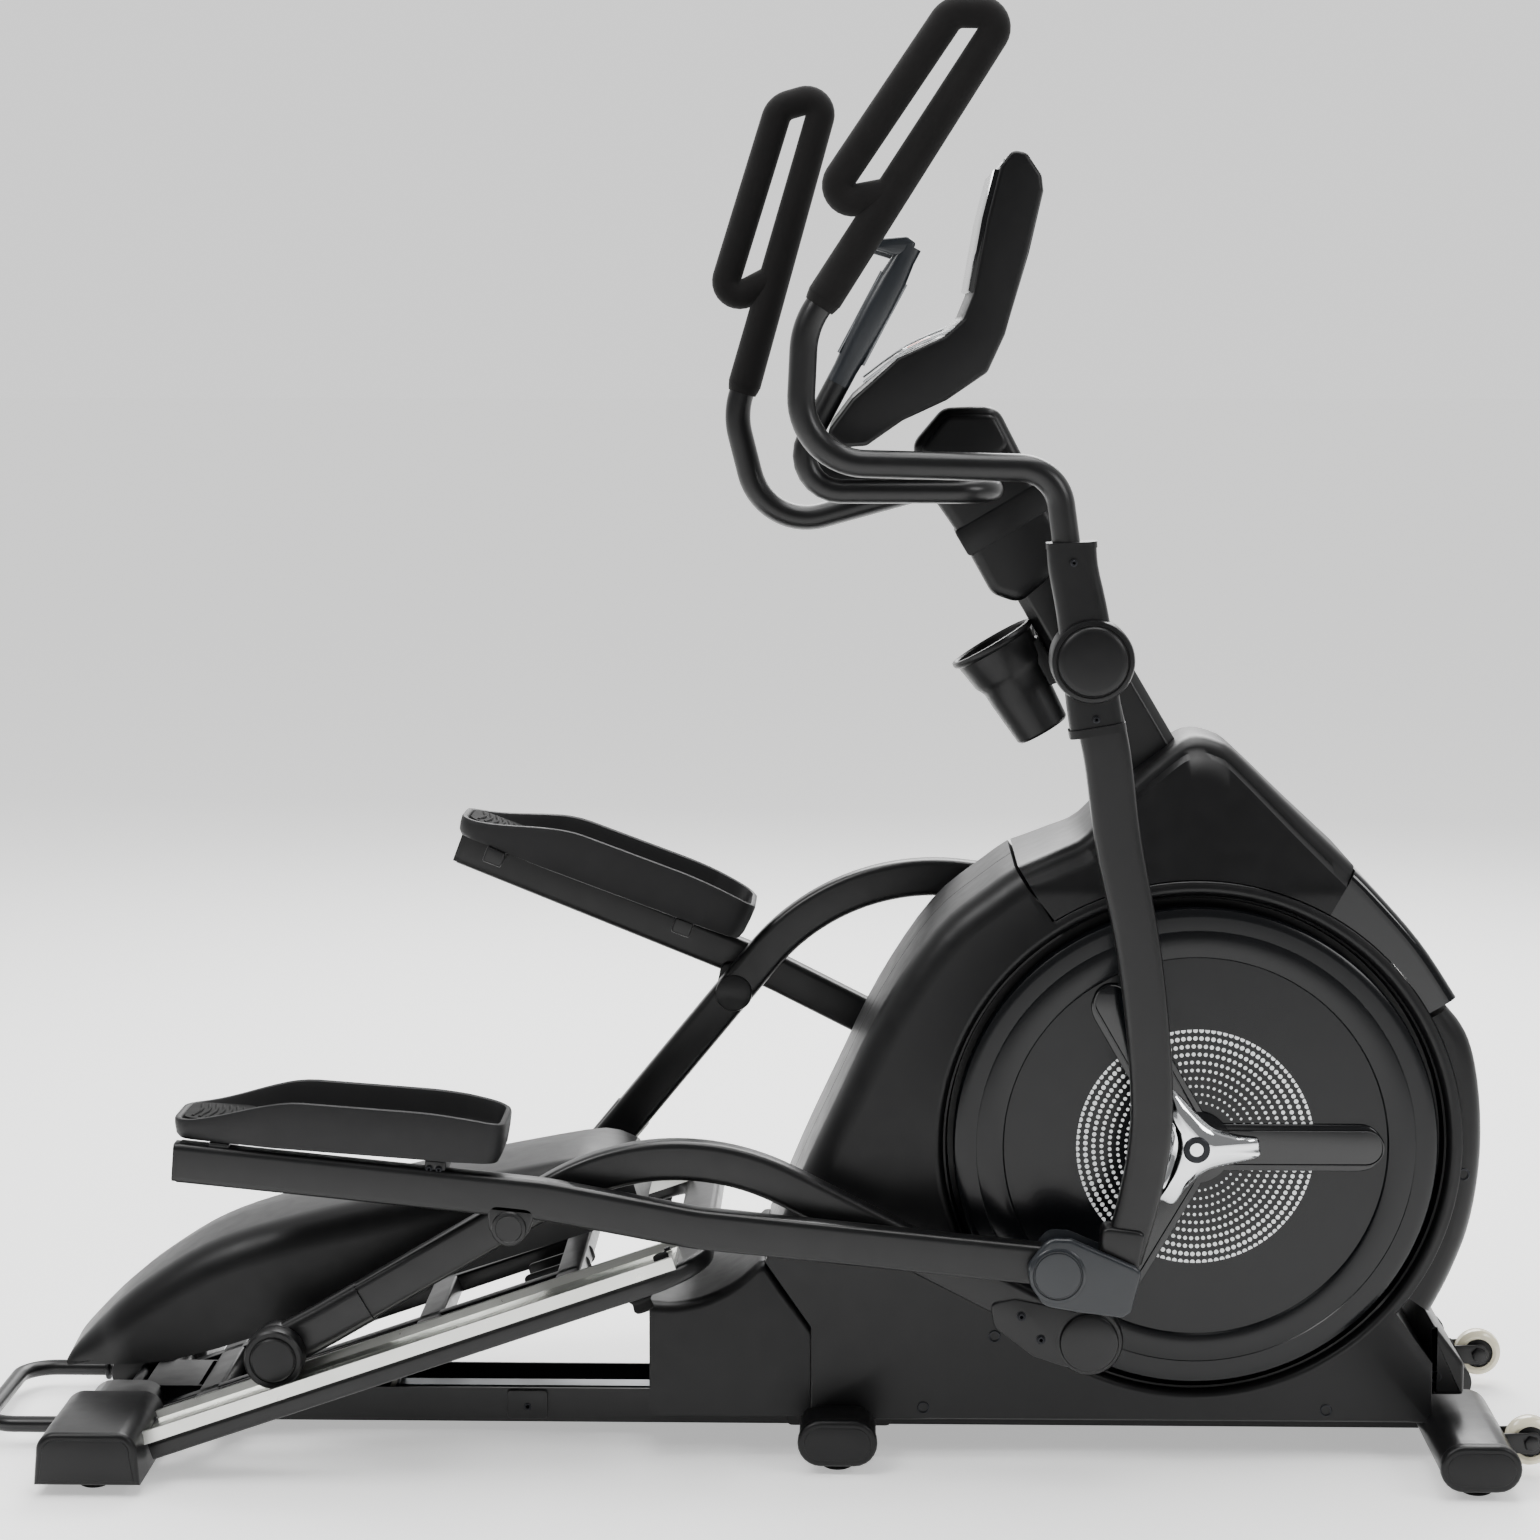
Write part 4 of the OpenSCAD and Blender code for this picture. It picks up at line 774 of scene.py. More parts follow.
@dataclass
class Base:
    """The cross feet with their caps and wheels, the rear cover and the lifting handle."""

    foot_w: float = 98.0
    foot_h: float = 56.0
    foot_z: float = 12.0
    lengths: tuple[float, float, float] = (640.0, 450.0, 620.0)
    cover_half: float = 340.0
    cover_gap: float = 150.0
    handle_half: float = 130.0
    handle_d: float = 21.0
    handle_back: float = 179.5
    wheel: Flat = (978.0, 44.0)
    wheel_r: float = 32.0

    def foot_outline(self, x: float, grow: float = 0.0) -> list[Flat]:
        """Returns the foot tube's flat-oval outline.

        Args:
            x: the foot's place along the machine.
            grow: how far the outline stands outside the tube.

        Returns:
            The closed outline.
        """
        r = self.foot_h / 2 + grow
        mid = (self.foot_w - self.foot_h) / 2
        z = self.foot_z + self.foot_h / 2
        return arc((x + mid, z), r, -90, 90, 12) + arc((x - mid, z), r, 90, 270, 12)

    def build(self) -> None:
        """Makes every piece of the base."""
        bm = bmesh.new()
        for x, length in zip(FOOT_X, self.lengths):
            for sign in (-1, 1):
                add_plate(bm, self.foot_outline(x, -0.3), sign * (BEAM_Y + 0.4), sign * length / 2, 1.5)
        for sign in (-1, 1):
            self.add_wheel_fork(bm, sign)
        dress(as_piece("foot_tubes_coated", bm), Finishes.POWDER, "root", "foot_tubes")
        bm = bmesh.new()
        for x, length in zip(FOOT_X[1:], self.lengths[1:]):
            for sign in (-1, 1):
                add_plate(bm, self.foot_outline(x, 1.4), sign * (length / 2 - 14), sign * (length / 2 + 6), 5, 4)
                add_plate(bm, self.foot_outline(x, -7), sign * (length / 2 + 5), sign * (length / 2 + 6.8), 0.8)
        dress(as_piece("foot_caps_moulded", bm), Finishes.SHELL, "root", "foot_caps")
        self.build_rear()
        self.build_pads()
        for side in Side:
            self.build_wheel(side)

    def add_wheel_fork(self, bm: bmesh.types.BMesh, sign: int) -> None:
        """Adds the two ears and the axle of a transport wheel.

        Args:
            bm: the mesh to add to.
            sign: the side's sign along y.
        """
        x, z = self.wheel
        ear = rounded([(x - 42, z - 12), (x + 8, z - 14), (x + 14, z), (x + 8, z + 14), (x - 42, z + 12)], 8)
        for y in (182, 214):
            add_plate(bm, ear, sign * y, sign * (y + 4), 1)
        add_lathe(bm, spot(self.wheel, sign * 178), Y_AXIS * sign, knob(6, 44, 1), 20)
        for y in (176, 218):
            add_lathe(bm, spot(self.wheel, sign * y), Y_AXIS * sign, knob(10, 5, 1.5), 6)

    def build_wheel(self, side: Side) -> None:
        """Makes a cast wheel with a dark toothed core and a bearing.

        Args:
            side: the side of the machine.
        """
        bm = bmesh.new()
        r = self.wheel_r
        tyre = [(r * 0.62, 1), (r * 0.62, 23), (r * 0.75, 24), (r - 5, 23), (r - 1.2, 19), (r, 12), (r - 1.2, 5),
                (r - 5, 1), (r * 0.75, 0)]
        at = spot(self.wheel, side.value * 188)
        rings = []
        for i in range(48):
            t = 2 * math.pi * i / 48
            rings.append([at + Vector((math.cos(t) * a, side.value * b, math.sin(t) * a)) * MM for a, b in tyre])
        add_loft(bm, rings, caps=False, loop=True)
        body = f"{side.word}_transport_wheel"
        dress(as_piece(f"{side.word}_wheel_tyre", bm), Finishes.WHEEL, body, body)
        bm = bmesh.new()
        teeth = [polar(r * (0.7 if i % 4 < 2 else 0.58), 360 * i / 48, self.wheel) for i in range(48)]
        add_plate(bm, teeth, side.value * 191, side.value * 209, 0.8)
        add_lathe(bm, spot(self.wheel, side.value * 188.5), Y_AXIS * side.value,
                  [(6.1, 0), (11, 0), (11.5, 1.5), (11.5, 21.5), (11, 23), (6.1, 23)], 24)
        dress(as_piece(f"{side.word}_wheel_core", bm), Finishes.PEDAL, body)

    def build_rear(self) -> None:
        """Makes the arched rear foot cover and the tube handle behind it."""
        bm = bmesh.new()
        x, z = FOOT_X[0], self.foot_z
        outline = [(x - 66, z + 2), (x - 63, 52)] + arc((x - 38, 56), 25, 168, 92, 8) + \
            arc((x + 38, 56), 25, 88, 12, 8) + [(x + 63, 52), (x + 66, z + 2)]
        for sign in (-1, 1):
            add_plate(bm, outline, sign * self.cover_gap, sign * self.cover_half, 7, 5)
            add_plate(bm, inset_outline(outline, 9), sign * (self.cover_half - 1), sign * (self.cover_half + 1.2), 1)
        dress(as_piece("rear_foot_cover_moulded", bm), Finishes.SHELL, "root", "rear_foot_cover")
        bm = bmesh.new()
        level, start = z + 16, x - self.foot_w / 2 + 6
        path = [Vector((a, b, level)) * MM for a, b in (
            (start, -self.handle_half), (x - self.handle_back, -self.handle_half),
            (x - self.handle_back, self.handle_half), (start, self.handle_half))]
        add_tube(bm, fillet_path(path, [0, 0.045, 0.045, 0]), round_section(self.handle_d),
                 across=Z_AXIS)
        for sign in (-1, 1):
            add_lathe(bm, Vector((x - 69, sign * self.handle_half, level)) * MM, Vector((1, 0, 0)),
                      knob(16, 6, 2), 24)
        dress(as_piece("rear_handle_tube", bm), Finishes.POWDER, "root", "rear_handle")

    def build_pads(self) -> None:
        """Makes the ribbed rubber pads under the feet with their threaded stems."""
        bm = bmesh.new()
        profile = [(15, 0), (18, 1.5), (18, 4), (16.5, 5), (18, 6), (17, 8), (12, 9), (11, 9.2), (11, 11.5), (6, 11.8)]
        for x, length in zip(FOOT_X, self.lengths):
            for sign in (-1, 1):
                add_lathe(bm, Vector((x, sign * (length / 2 - 32), 0)) * MM, Z_AXIS, profile, 32)
        dress(as_piece("levelling_pads", bm), Finishes.RUBBER, "root", "levelling_feet")
        bm = bmesh.new()
        for x in (-298, -60, 5, 190, 420, 620, 800):
            for sign in (-1, 1):
                add_screw(bm, Vector((x, sign * BEAM_Y, 36)) * MM, Y_AXIS * sign, 5)
        dress(as_piece("beam_bolts", bm), Finishes.BOLT)
        bm = bmesh.new()
        for sign in (-1, 1):
            bracket = rounded([(-325, 20), (-272, 20), (-272, 58), (-325, 58)], 6)
            add_plate(bm, bracket, sign * (BEAM_Y + 0.2), sign * (BEAM_Y + 4), 1)
            add_plate(bm, rounded([(40, 14), (176, 14), (176, 60), (40, 60)], 8), sign * (BEAM_Y + 0.2),
                      sign * (BEAM_Y + 5), 1.2)
        dress(as_piece("beam_brackets", bm), Finishes.POWDER)


# ---------------------------------------------------------------- ramp


@dataclass
class Ramp:
    """The tilting ramp: side tubes, cross tubes, stops and the hood between the tracks."""

    incline: float = 19.0
    side_y: float = 258.0
    side_w: float = 50.0
    side_h: float = 24.0
    side_z: float = -27.1
    front: float = 778.0
    hood_half: float = 118.0
    hood_top: tuple[Flat, ...] = ((-54, 84), (-40, 96), (-2, 117), (40, 137), (84, 152), (150, 168), (214, 173),
                                  (303, 169), (392, 160), (500, 147), (600, 134), (690, 118), (726, 92))
    hood_low: tuple[Flat, ...] = ((-60, 74), (-8, 62), (84, 40), (142, 36), (730, 26))

    def on_ramp(self, x: float, y: float, z: float) -> Vector:
        """Returns a point of the ramp's own frame as a point of the machine, in metres."""
        return spot(shifted(HINGE, self.incline, [(x, z)])[0], y)

    def across(self) -> Vector:
        """Returns the direction square to the tracks."""
        return direction(self.incline + 90)

    def build(self) -> None:
        """Makes every piece of the ramp."""
        self.build_frame()
        self.build_hood()
        bm = bmesh.new()
        for sign in (-1, 1):
            for x in (62, 752):
                for y in (-30, 30):
                    add_screw(bm, self.on_ramp(x, sign * 240 + y, 8.5 - 15), self.across(), 4)
        dress(as_piece("track_screws", bm), Finishes.BOLT, "ramp")
        bm = bmesh.new()
        for sign in (-1, 1):
            add_lathe(bm, self.on_ramp(706, sign * self.side_y, self.side_z - 12), -self.across(),
                      [(15, 0), (15, 4), (12, 8), (13, 17), (11, 20)], 24)
            add_lathe(bm, self.on_ramp(748, sign * 262, -8), self.across(), knob(10, 12, 3), 24)
        dress(as_piece("ramp_stops", bm), Finishes.RUBBER, "ramp")

    def build_frame(self) -> None:
        """Makes the bent side tube, the cross tubes and the lift's ears."""
        bm = bmesh.new()
        z = self.side_z
        path = [self.on_ramp(x, y, z) for x, y in ((64, -self.side_y), (self.front, -self.side_y),
                                                   (self.front, self.side_y), (64, self.side_y))]
        section = box_section(self.side_w, self.side_h, 7)
        add_tube(bm, fillet_path(path, [0, 0.06, 0.06, 0]), section, across=self.across())
        for x in (112, 417, 607):
            add_tube(bm, [self.on_ramp(x, y, z) for y in (-238, 238)], box_section(34, self.side_h, 4),
                     across=self.across())
        for sign in (-1, 1):
            add_tube(bm, [self.on_ramp(x, sign * 95, z) for x in (-10, 620)], box_section(24, self.side_h, 4),
                     across=self.across())
            ear = [shifted(HINGE, self.incline, [p])[0] for p in rounded(
                [(537, -72), (565, -72), (627, -40), (627, -20), (537, -20)], 8)]
            add_plate(bm, ear, sign * 26, sign * 32, 1)
            arm = [shifted(HINGE, self.incline, [p])[0] for p in rounded([(-18, -18), (10, -38), (40, -38),
                                                                       (40, -15), (16, 18), (-18, 18)], 10)]
            add_plate(bm, arm, sign * 83, sign * 107, 2)
        add_lathe(bm, self.on_ramp(0, -110, 0), Y_AXIS, knob(9, 220, 1.5), 24)
        add_lathe(bm, self.on_ramp(551, -36, -58), Y_AXIS, knob(8, 72, 1.5), 24)
        dress(as_piece("ramp_tubes", bm), Finishes.POWDER, "ramp", "ramp_frame")

    def build_hood(self) -> None:
        """Makes the long moulded hood, crowned on top with softly rounded shoulders."""
        top, low = smooth(self.hood_top, 3), self.hood_low
        rings = []
        for x, high in top:
            base = self.lookup(low, x)
            half = self.hood_half - max(0.0, (30 - x)) * 0.35
            deep = high - base
            shoulder = min(46.0, deep * 0.75)
            ring = [(-half, base), (half, base), (half, base + 4)]
            ring += [(half - shoulder * (1 - math.cos(a)) * 0.9, high - shoulder + shoulder * math.sin(a) - 6)
                     for a in quarter(8)]
            ring += [(0.0, high)]
            ring += [(-y, z) for y, z in reversed(ring[3:-1])]
            ring += [(-half, base + 4)]
            rings.append([self.on_ramp(x, y, z) for y, z in ring])
        bm = bmesh.new()
        add_loft(bm, rings)
        hood = as_piece("ramp_hood_moulded", bm, 40)
        dress(hood, Finishes.SHELL, "ramp", "ramp_hood")

    @staticmethod
    def lookup(table: Sequence[Flat], x: float) -> float:
        """Returns the height at x on a line through the table's points.

        Args:
            table: (x, height) points in order of x.
            x: where to look.

        Returns:
            The height at x.
        """
        for (x0, z0), (x1, z1) in zip(table, table[1:]):
            if x <= x1:
                return z0 + (z1 - z0) * max(x - x0, 0) / (x1 - x0)
        return table[-1][1]


# ---------------------------------------------------------------- housing


@dataclass
class Housing:
    """The two drive housings and the covers that close them on top, behind and in front."""

    recess_y: float = 124.0
    lip_r: float = 331.0
    recess_r: float = 315.0
    shell_r: float = 337.0
    wall: float = 4.0
    rear_edge: tuple[Flat, ...] = ((328, 759), (297, 737), (228, 679), (159, 576), (104, 462), (58, 362),
                                   (14, 254))
    floor_z: float = 50.0
    seam_x: float = 72.0

    def outline(self) -> list[Flat]:
        """Returns the side housing's outline."""
        rear = smooth(self.rear_edge, 4)
        low = [(self.seam_x, 170.0), (self.seam_x, self.floor_z), (862.0, self.floor_z), (862.0, 128.0)]
        return rear + low + arc(CRANK, self.shell_r, -40, 122, 48)

    @staticmethod
    def reach(outline: Sequence[Flat], degrees: float, closed: bool = True) -> float:
        """Returns how far an outline lies from the crank in one direction.

        Args:
            outline: the outline's points.
            degrees: the direction from the crank.
            closed: whether the last point joins the first.

        Returns:
            The distance to the outline's far side, or 0 where it isn't met.
        """
        dx, dz = polar(1, degrees)
        best = 0.0
        pairs = list(zip(outline, outline[1:])) + ([(outline[-1], outline[0])] if closed else [])
        for (ax, az), (bx, bz) in pairs:
            ax, az, bx, bz = ax - CRANK[0], az - CRANK[1], bx - CRANK[0], bz - CRANK[1]
            ca, cb = dx * az - dz * ax, dx * bz - dz * bx
            if ca * cb <= 0 and abs(ca - cb) > 1e-9:
                t = ca / (ca - cb)
                far = (ax + (bx - ax) * t) * dx + (az + (bz - az) * t) * dz
                best = max(best, far)
        return best

    def build(self) -> None:
        """Makes both side housings and their covers."""
        for side in Side:
            self.build_side(side)
        self.build_cowl()
        self.build_front()
        self.build_rear()
        self.build_screws()

    def build_side(self, side: Side) -> None:
        """Makes one side housing with the round recess that the crank disc turns in.

        Args:
            side: the side of the machine.
        """
        outline = self.outline()
        corners = [heading(CRANK, p) % 360 for p in outline]
        turns = sorted(set(round(a, 2) for a in [2.5 * i for i in range(144)] + corners))
        rings = []
        for turn in turns:
            far = self.reach(outline, turn)
            rear = 122.5 < turn < 192
            edge = min(38.0, (far - self.lip_r) * 0.5) if rear else (6.0 if 225 < turn < 308 else 2.5)
            profile = [(far - self.wall, 0.4), (far - 1, 0.4), (far, 1.4)]
            profile += [(far - edge + edge * math.cos(a), HOUSE_Y - edge + edge * math.sin(a))
                        for a in quarter(7)]
            profile += [(self.lip_r, HOUSE_Y), (self.lip_r - 1.5, HOUSE_Y + 0.8), (self.lip_r - 5, HOUSE_Y + 0.8),
                        (self.lip_r - 8, HOUSE_Y - 1), (self.recess_r + 3, HOUSE_Y - 8),
                        (self.recess_r + 1, self.recess_y + 4), (self.recess_r - 3, self.recess_y),
                        (26, self.recess_y), (26, self.recess_y - 4), (self.recess_r - 4, self.recess_y - 4),
                        (self.recess_r, HOUSE_Y - 12), (far - edge - 2, HOUSE_Y - 5),
                        (far - self.wall, HOUSE_Y - edge - 2)]
            rings.append([spot(polar(r, turn, CRANK), side.value * y) for r, y in profile])
        bm = bmesh.new()
        add_loft(bm, rings, caps=False, loop=True)
        dress(as_piece(f"{side.word}_housing_shell", bm, 35), Finishes.SHELL, "root", f"{side.word}_housing")

    def add_polar_cover(self, bm: bmesh.types.BMesh, start: float, end: float, outer: Sequence[Flat],
                        half: Callable[[float], float], edge: float, inner: float, steps: int = 40) -> None:
        """Adds a cover that spans both sides of the machine round the crank.

        Args:
            bm: the mesh to add to.
            start: first angle round the crank, in degrees.
            end: last angle.
            outer: the cover's outer outline.
            half: its half width as a function of height.
            edge: radius of its long edges.
            inner: radius at which it meets the housings.
            steps: sections between the two ends.
        """
        rings = []
        for i in range(steps + 1):
            turn = start + (end - start) * i / steps
            far = self.reach(outer, turn, closed=False)
            level = lambda r: half(polar(r, turn, CRANK)[1])
            bend = min(edge, (far - inner) * 0.8)
            walls = [inner + (far - bend - inner) * k / 6 for k in range(7)]
            profile = [(r, level(r)) for r in walls]
            profile += [(far - bend + bend * math.sin(a), level(far) - bend + bend * math.cos(a))
                        for a in quarter(6)[1:]]
            profile += [(far, 0.0)]
            whole = [(r, -y) for r, y in profile] + [(r, y) for r, y in reversed(profile[:-1])]
            rings.append([spot(polar(r, turn, CRANK), y) for r, y in whole])
        add_loft(bm, rings)

    def build_cowl(self) -> None:
        """Makes the cowl that narrows from the housings up to the mast."""
        outer = [(324, 765)] + smooth([(328, 759), (380, 780), (420, 800), (466, 855), (509, 890), (552, 918),
                                       (590, 912), (615, 894), (690, 822), (765, 752)], 4) + [(775, 742)]
        width = lambda z: HOUSE_Y - max(0.0, z - 735) / (925 - 735) * (HOUSE_Y - 70)
        bm = bmesh.new()
        self.add_polar_cover(bm, 60.75, 122.6, outer, width, 26, self.shell_r + 1.2, 60)
        dress(as_piece("mast_cowl_moulded", bm, 40), Finishes.SHELL, "root", "mast_cowl")

    def build_front(self) -> None:
        """Makes the front cover, its foot and the gloss insert above it."""
        bm = bmesh.new()
        outer = smooth([(860, 598), (897, 554), (915, 490), (920, 400), (909, 309), (885, 240), (858, 186)], 4)
        self.add_polar_cover(bm, 29.0, -35.8, outer, lambda z: HOUSE_Y - 8, 22, self.shell_r + 1)
        foot = rounded([(863, 178), (904, 124), (904, 84), (863, 84)], [2, 14, 6, 2], 5)
        add_plate(bm, foot, -HOUSE_Y + 10, HOUSE_Y - 10, 6, 4)
        dress(as_piece("front_cover_moulded", bm, 40), Finishes.SHELL, "root", "front_cover")
        bm = bmesh.new()
        outer = smooth([(892, 582), (884, 597), (835, 670), (768, 745), (738, 771)], 5)
        self.add_polar_cover(bm, 30.2, 60.6, outer, lambda z: HOUSE_Y - 5, 12, self.shell_r + 1)
        dress(as_piece("gloss_insert_polished", bm, 40), Finishes.GLOSS, "root", "gloss_insert")
        bm = bmesh.new()
        x, y, z = 904.0, -31.0, 109.0
        for half_y, half_z, deep in ((17, 14, 3.0), (11, 8, 3.6)):
            add_tube(bm, [Vector((x, y, z)) * MM, Vector((x + deep, y, z)) * MM],
                     box_section(2 * half_z, 2 * half_y, 3), across=Y_AXIS)
        dress(as_piece("power_inlet_frame", bm), Finishes.RUBBER, "root", "power_inlet")

    def build_rear(self) -> None:
        """Makes the rear cover, which sweeps down from the housings to the beam."""
        sweep = smooth([(-134, 200), (-100, 199), (-62, 207), (-24, 226), (6, 252)], 5)
        seam = [(13, 253), (30, 227), (50, 200), (71.5, 170)]
        half = HOUSE_Y - 6
        rings = []
        for x, top in sweep + seam:
            low, edge = self.floor_z + 2, 14.0
            ring = [(-half, low), (half, low)]
            ring += [(half - edge + edge * math.cos(a), top - edge + edge * math.sin(a))
                     for a in quarter(6)]
            ring += [(-y, z) for y, z in reversed(ring[2:])]
            rings.append([Vector((x, y, z)) * MM for y, z in ring])
        bm = bmesh.new()
        add_loft(bm, rings)
        dress(as_piece("rear_cover_moulded", bm, 40), Finishes.SHELL, "root", "rear_cover")

    def build_screws(self) -> None:
        """Makes the sunk screws that hold the housings together."""
        bm = bmesh.new()
        places = ((508, 792, 122), (897, 372, 147), (728, 66, 155), (216, 66, 155), (306, 160, 155), (868, 108, 144))
        for side in Side:
            for x, z, y in places:
                add_lathe(bm, spot((x, z), side.value * (y - 5)), Y_AXIS * side.value,
                          [(8, 0), (8, 5.6), (7, 6.2), (5.4, 5.6), (5.2, 1.5), (2, 1.2)], 24)
        dress(as_piece("housing_screws", bm), Finishes.BOLT)


# ---------------------------------------------------------------- mast and console


@dataclass
class Mast:
    """The leaning mast, its cover, the swing axle's tube and the bottle holder."""

    h: float = 84.0
    low: float = -236.0
    top: float = 322.0
    cup_r: float = 54.0
    cup_depth: float = 134.0
    cup_at: float = -76.0

    def along(self, t: float, off: float = 0.0) -> Flat:
        """Returns a point t along the mast from the swing axle, off forward of its middle."""
        ux, uz = polar(1, MAST_LEAN)
        return (SWING[0] + ux * t + uz * off, SWING[1] + uz * t - ux * off)

    def build(self) -> None:
        """Makes every piece of the mast."""
        bm = bmesh.new()
        add_tube(bm, [spot(self.along(t), 0) for t in (self.low, 0, 200, self.top)],
                 rounded([(42, 12), (30, 26), (-30, 26), (-42, 12), (-42, -12), (-30, -26), (30, -26), (42, -12)], 7,
                         3))
        for side in Side:
            add_lathe(bm, spot(SWING, 0), Y_AXIS * side.value,
                      [(32, 0), (32, 200), (36, 205), (47, 205), (48, 206), (48, 225), (47, 226), (14, 226), (14, 281)],
                      40)
        dress(as_piece("mast_tube", bm), Finishes.POWDER, "root", "mast")
        self.build_cover()
        self.build_cup()

    def build_cover(self) -> None:
        """Makes the two-part cover over the joint of mast, console and pulse bar."""
        bm = bmesh.new()
        shell = [(84, -42), (112, -66), (196, -64), (272, -70), (326, -58), (346, 0), (314, 60), (190, 53), (100, 50)]
        outline = rounded([self.along(t, off) for t, off in shell], 24, 6)
        add_plate(bm, outline, -44, 44, 15, 5)
        band = rounded([self.along(t, off) for t, off in ((168, -67), (206, -67), (206, 56), (168, 55))], 6)
        add_plate(bm, band, -44.8, 44.8, 2, 2)
        crown = rounded([self.along(t, off) for t, off in ((262, -54), (318, -52), (338, 0), (308, 52), (262, 50))], 16)
        add_plate(bm, crown, -48, 48, 8, 4)
        dress(as_piece("mast_cover_moulded", bm, 40), Finishes.SHELL, "root", "mast_cover")

    def build_cup(self) -> None:
        """Makes the waisted bottle holder with its open mouth, rolled rim and bracket."""
        bm = bmesh.new()
        off = -(self.h / 2 + self.cup_r + 2)
        axis = direction(MAST_LEAN)
        d, r = self.cup_depth, self.cup_r
        profile = [(0.1, 0), (33, 0), (36, 3), (41, 58), (42, 78), (46, 86), (48, 90), (r - 1, d - 10), (r + 3, d - 7),
                   (r + 4, d - 4), (r + 3, d), (r - 0.5, d + 0.4), (r - 3.4, d - 2), (r - 6, 92), (39, 76), (37, 58),
                   (33, 5), (0.1, 4)]
        add_lathe(bm, spot(self.along(self.cup_at, off), 0), axis, profile, 56)
        bracket = rounded([self.along(t, o) for t, o in ((-32, -self.h / 2 - 0.5), (34, -self.h / 2 - 0.5),
                                                         (30, -self.h / 2 - 18), (-28, -self.h / 2 - 20))], 3)
        add_plate(bm, bracket, -19, 19, 2)
        dress(as_piece("bottle_holder_moulded", bm, 38), Finishes.SHELL, "root", "bottle_holder")


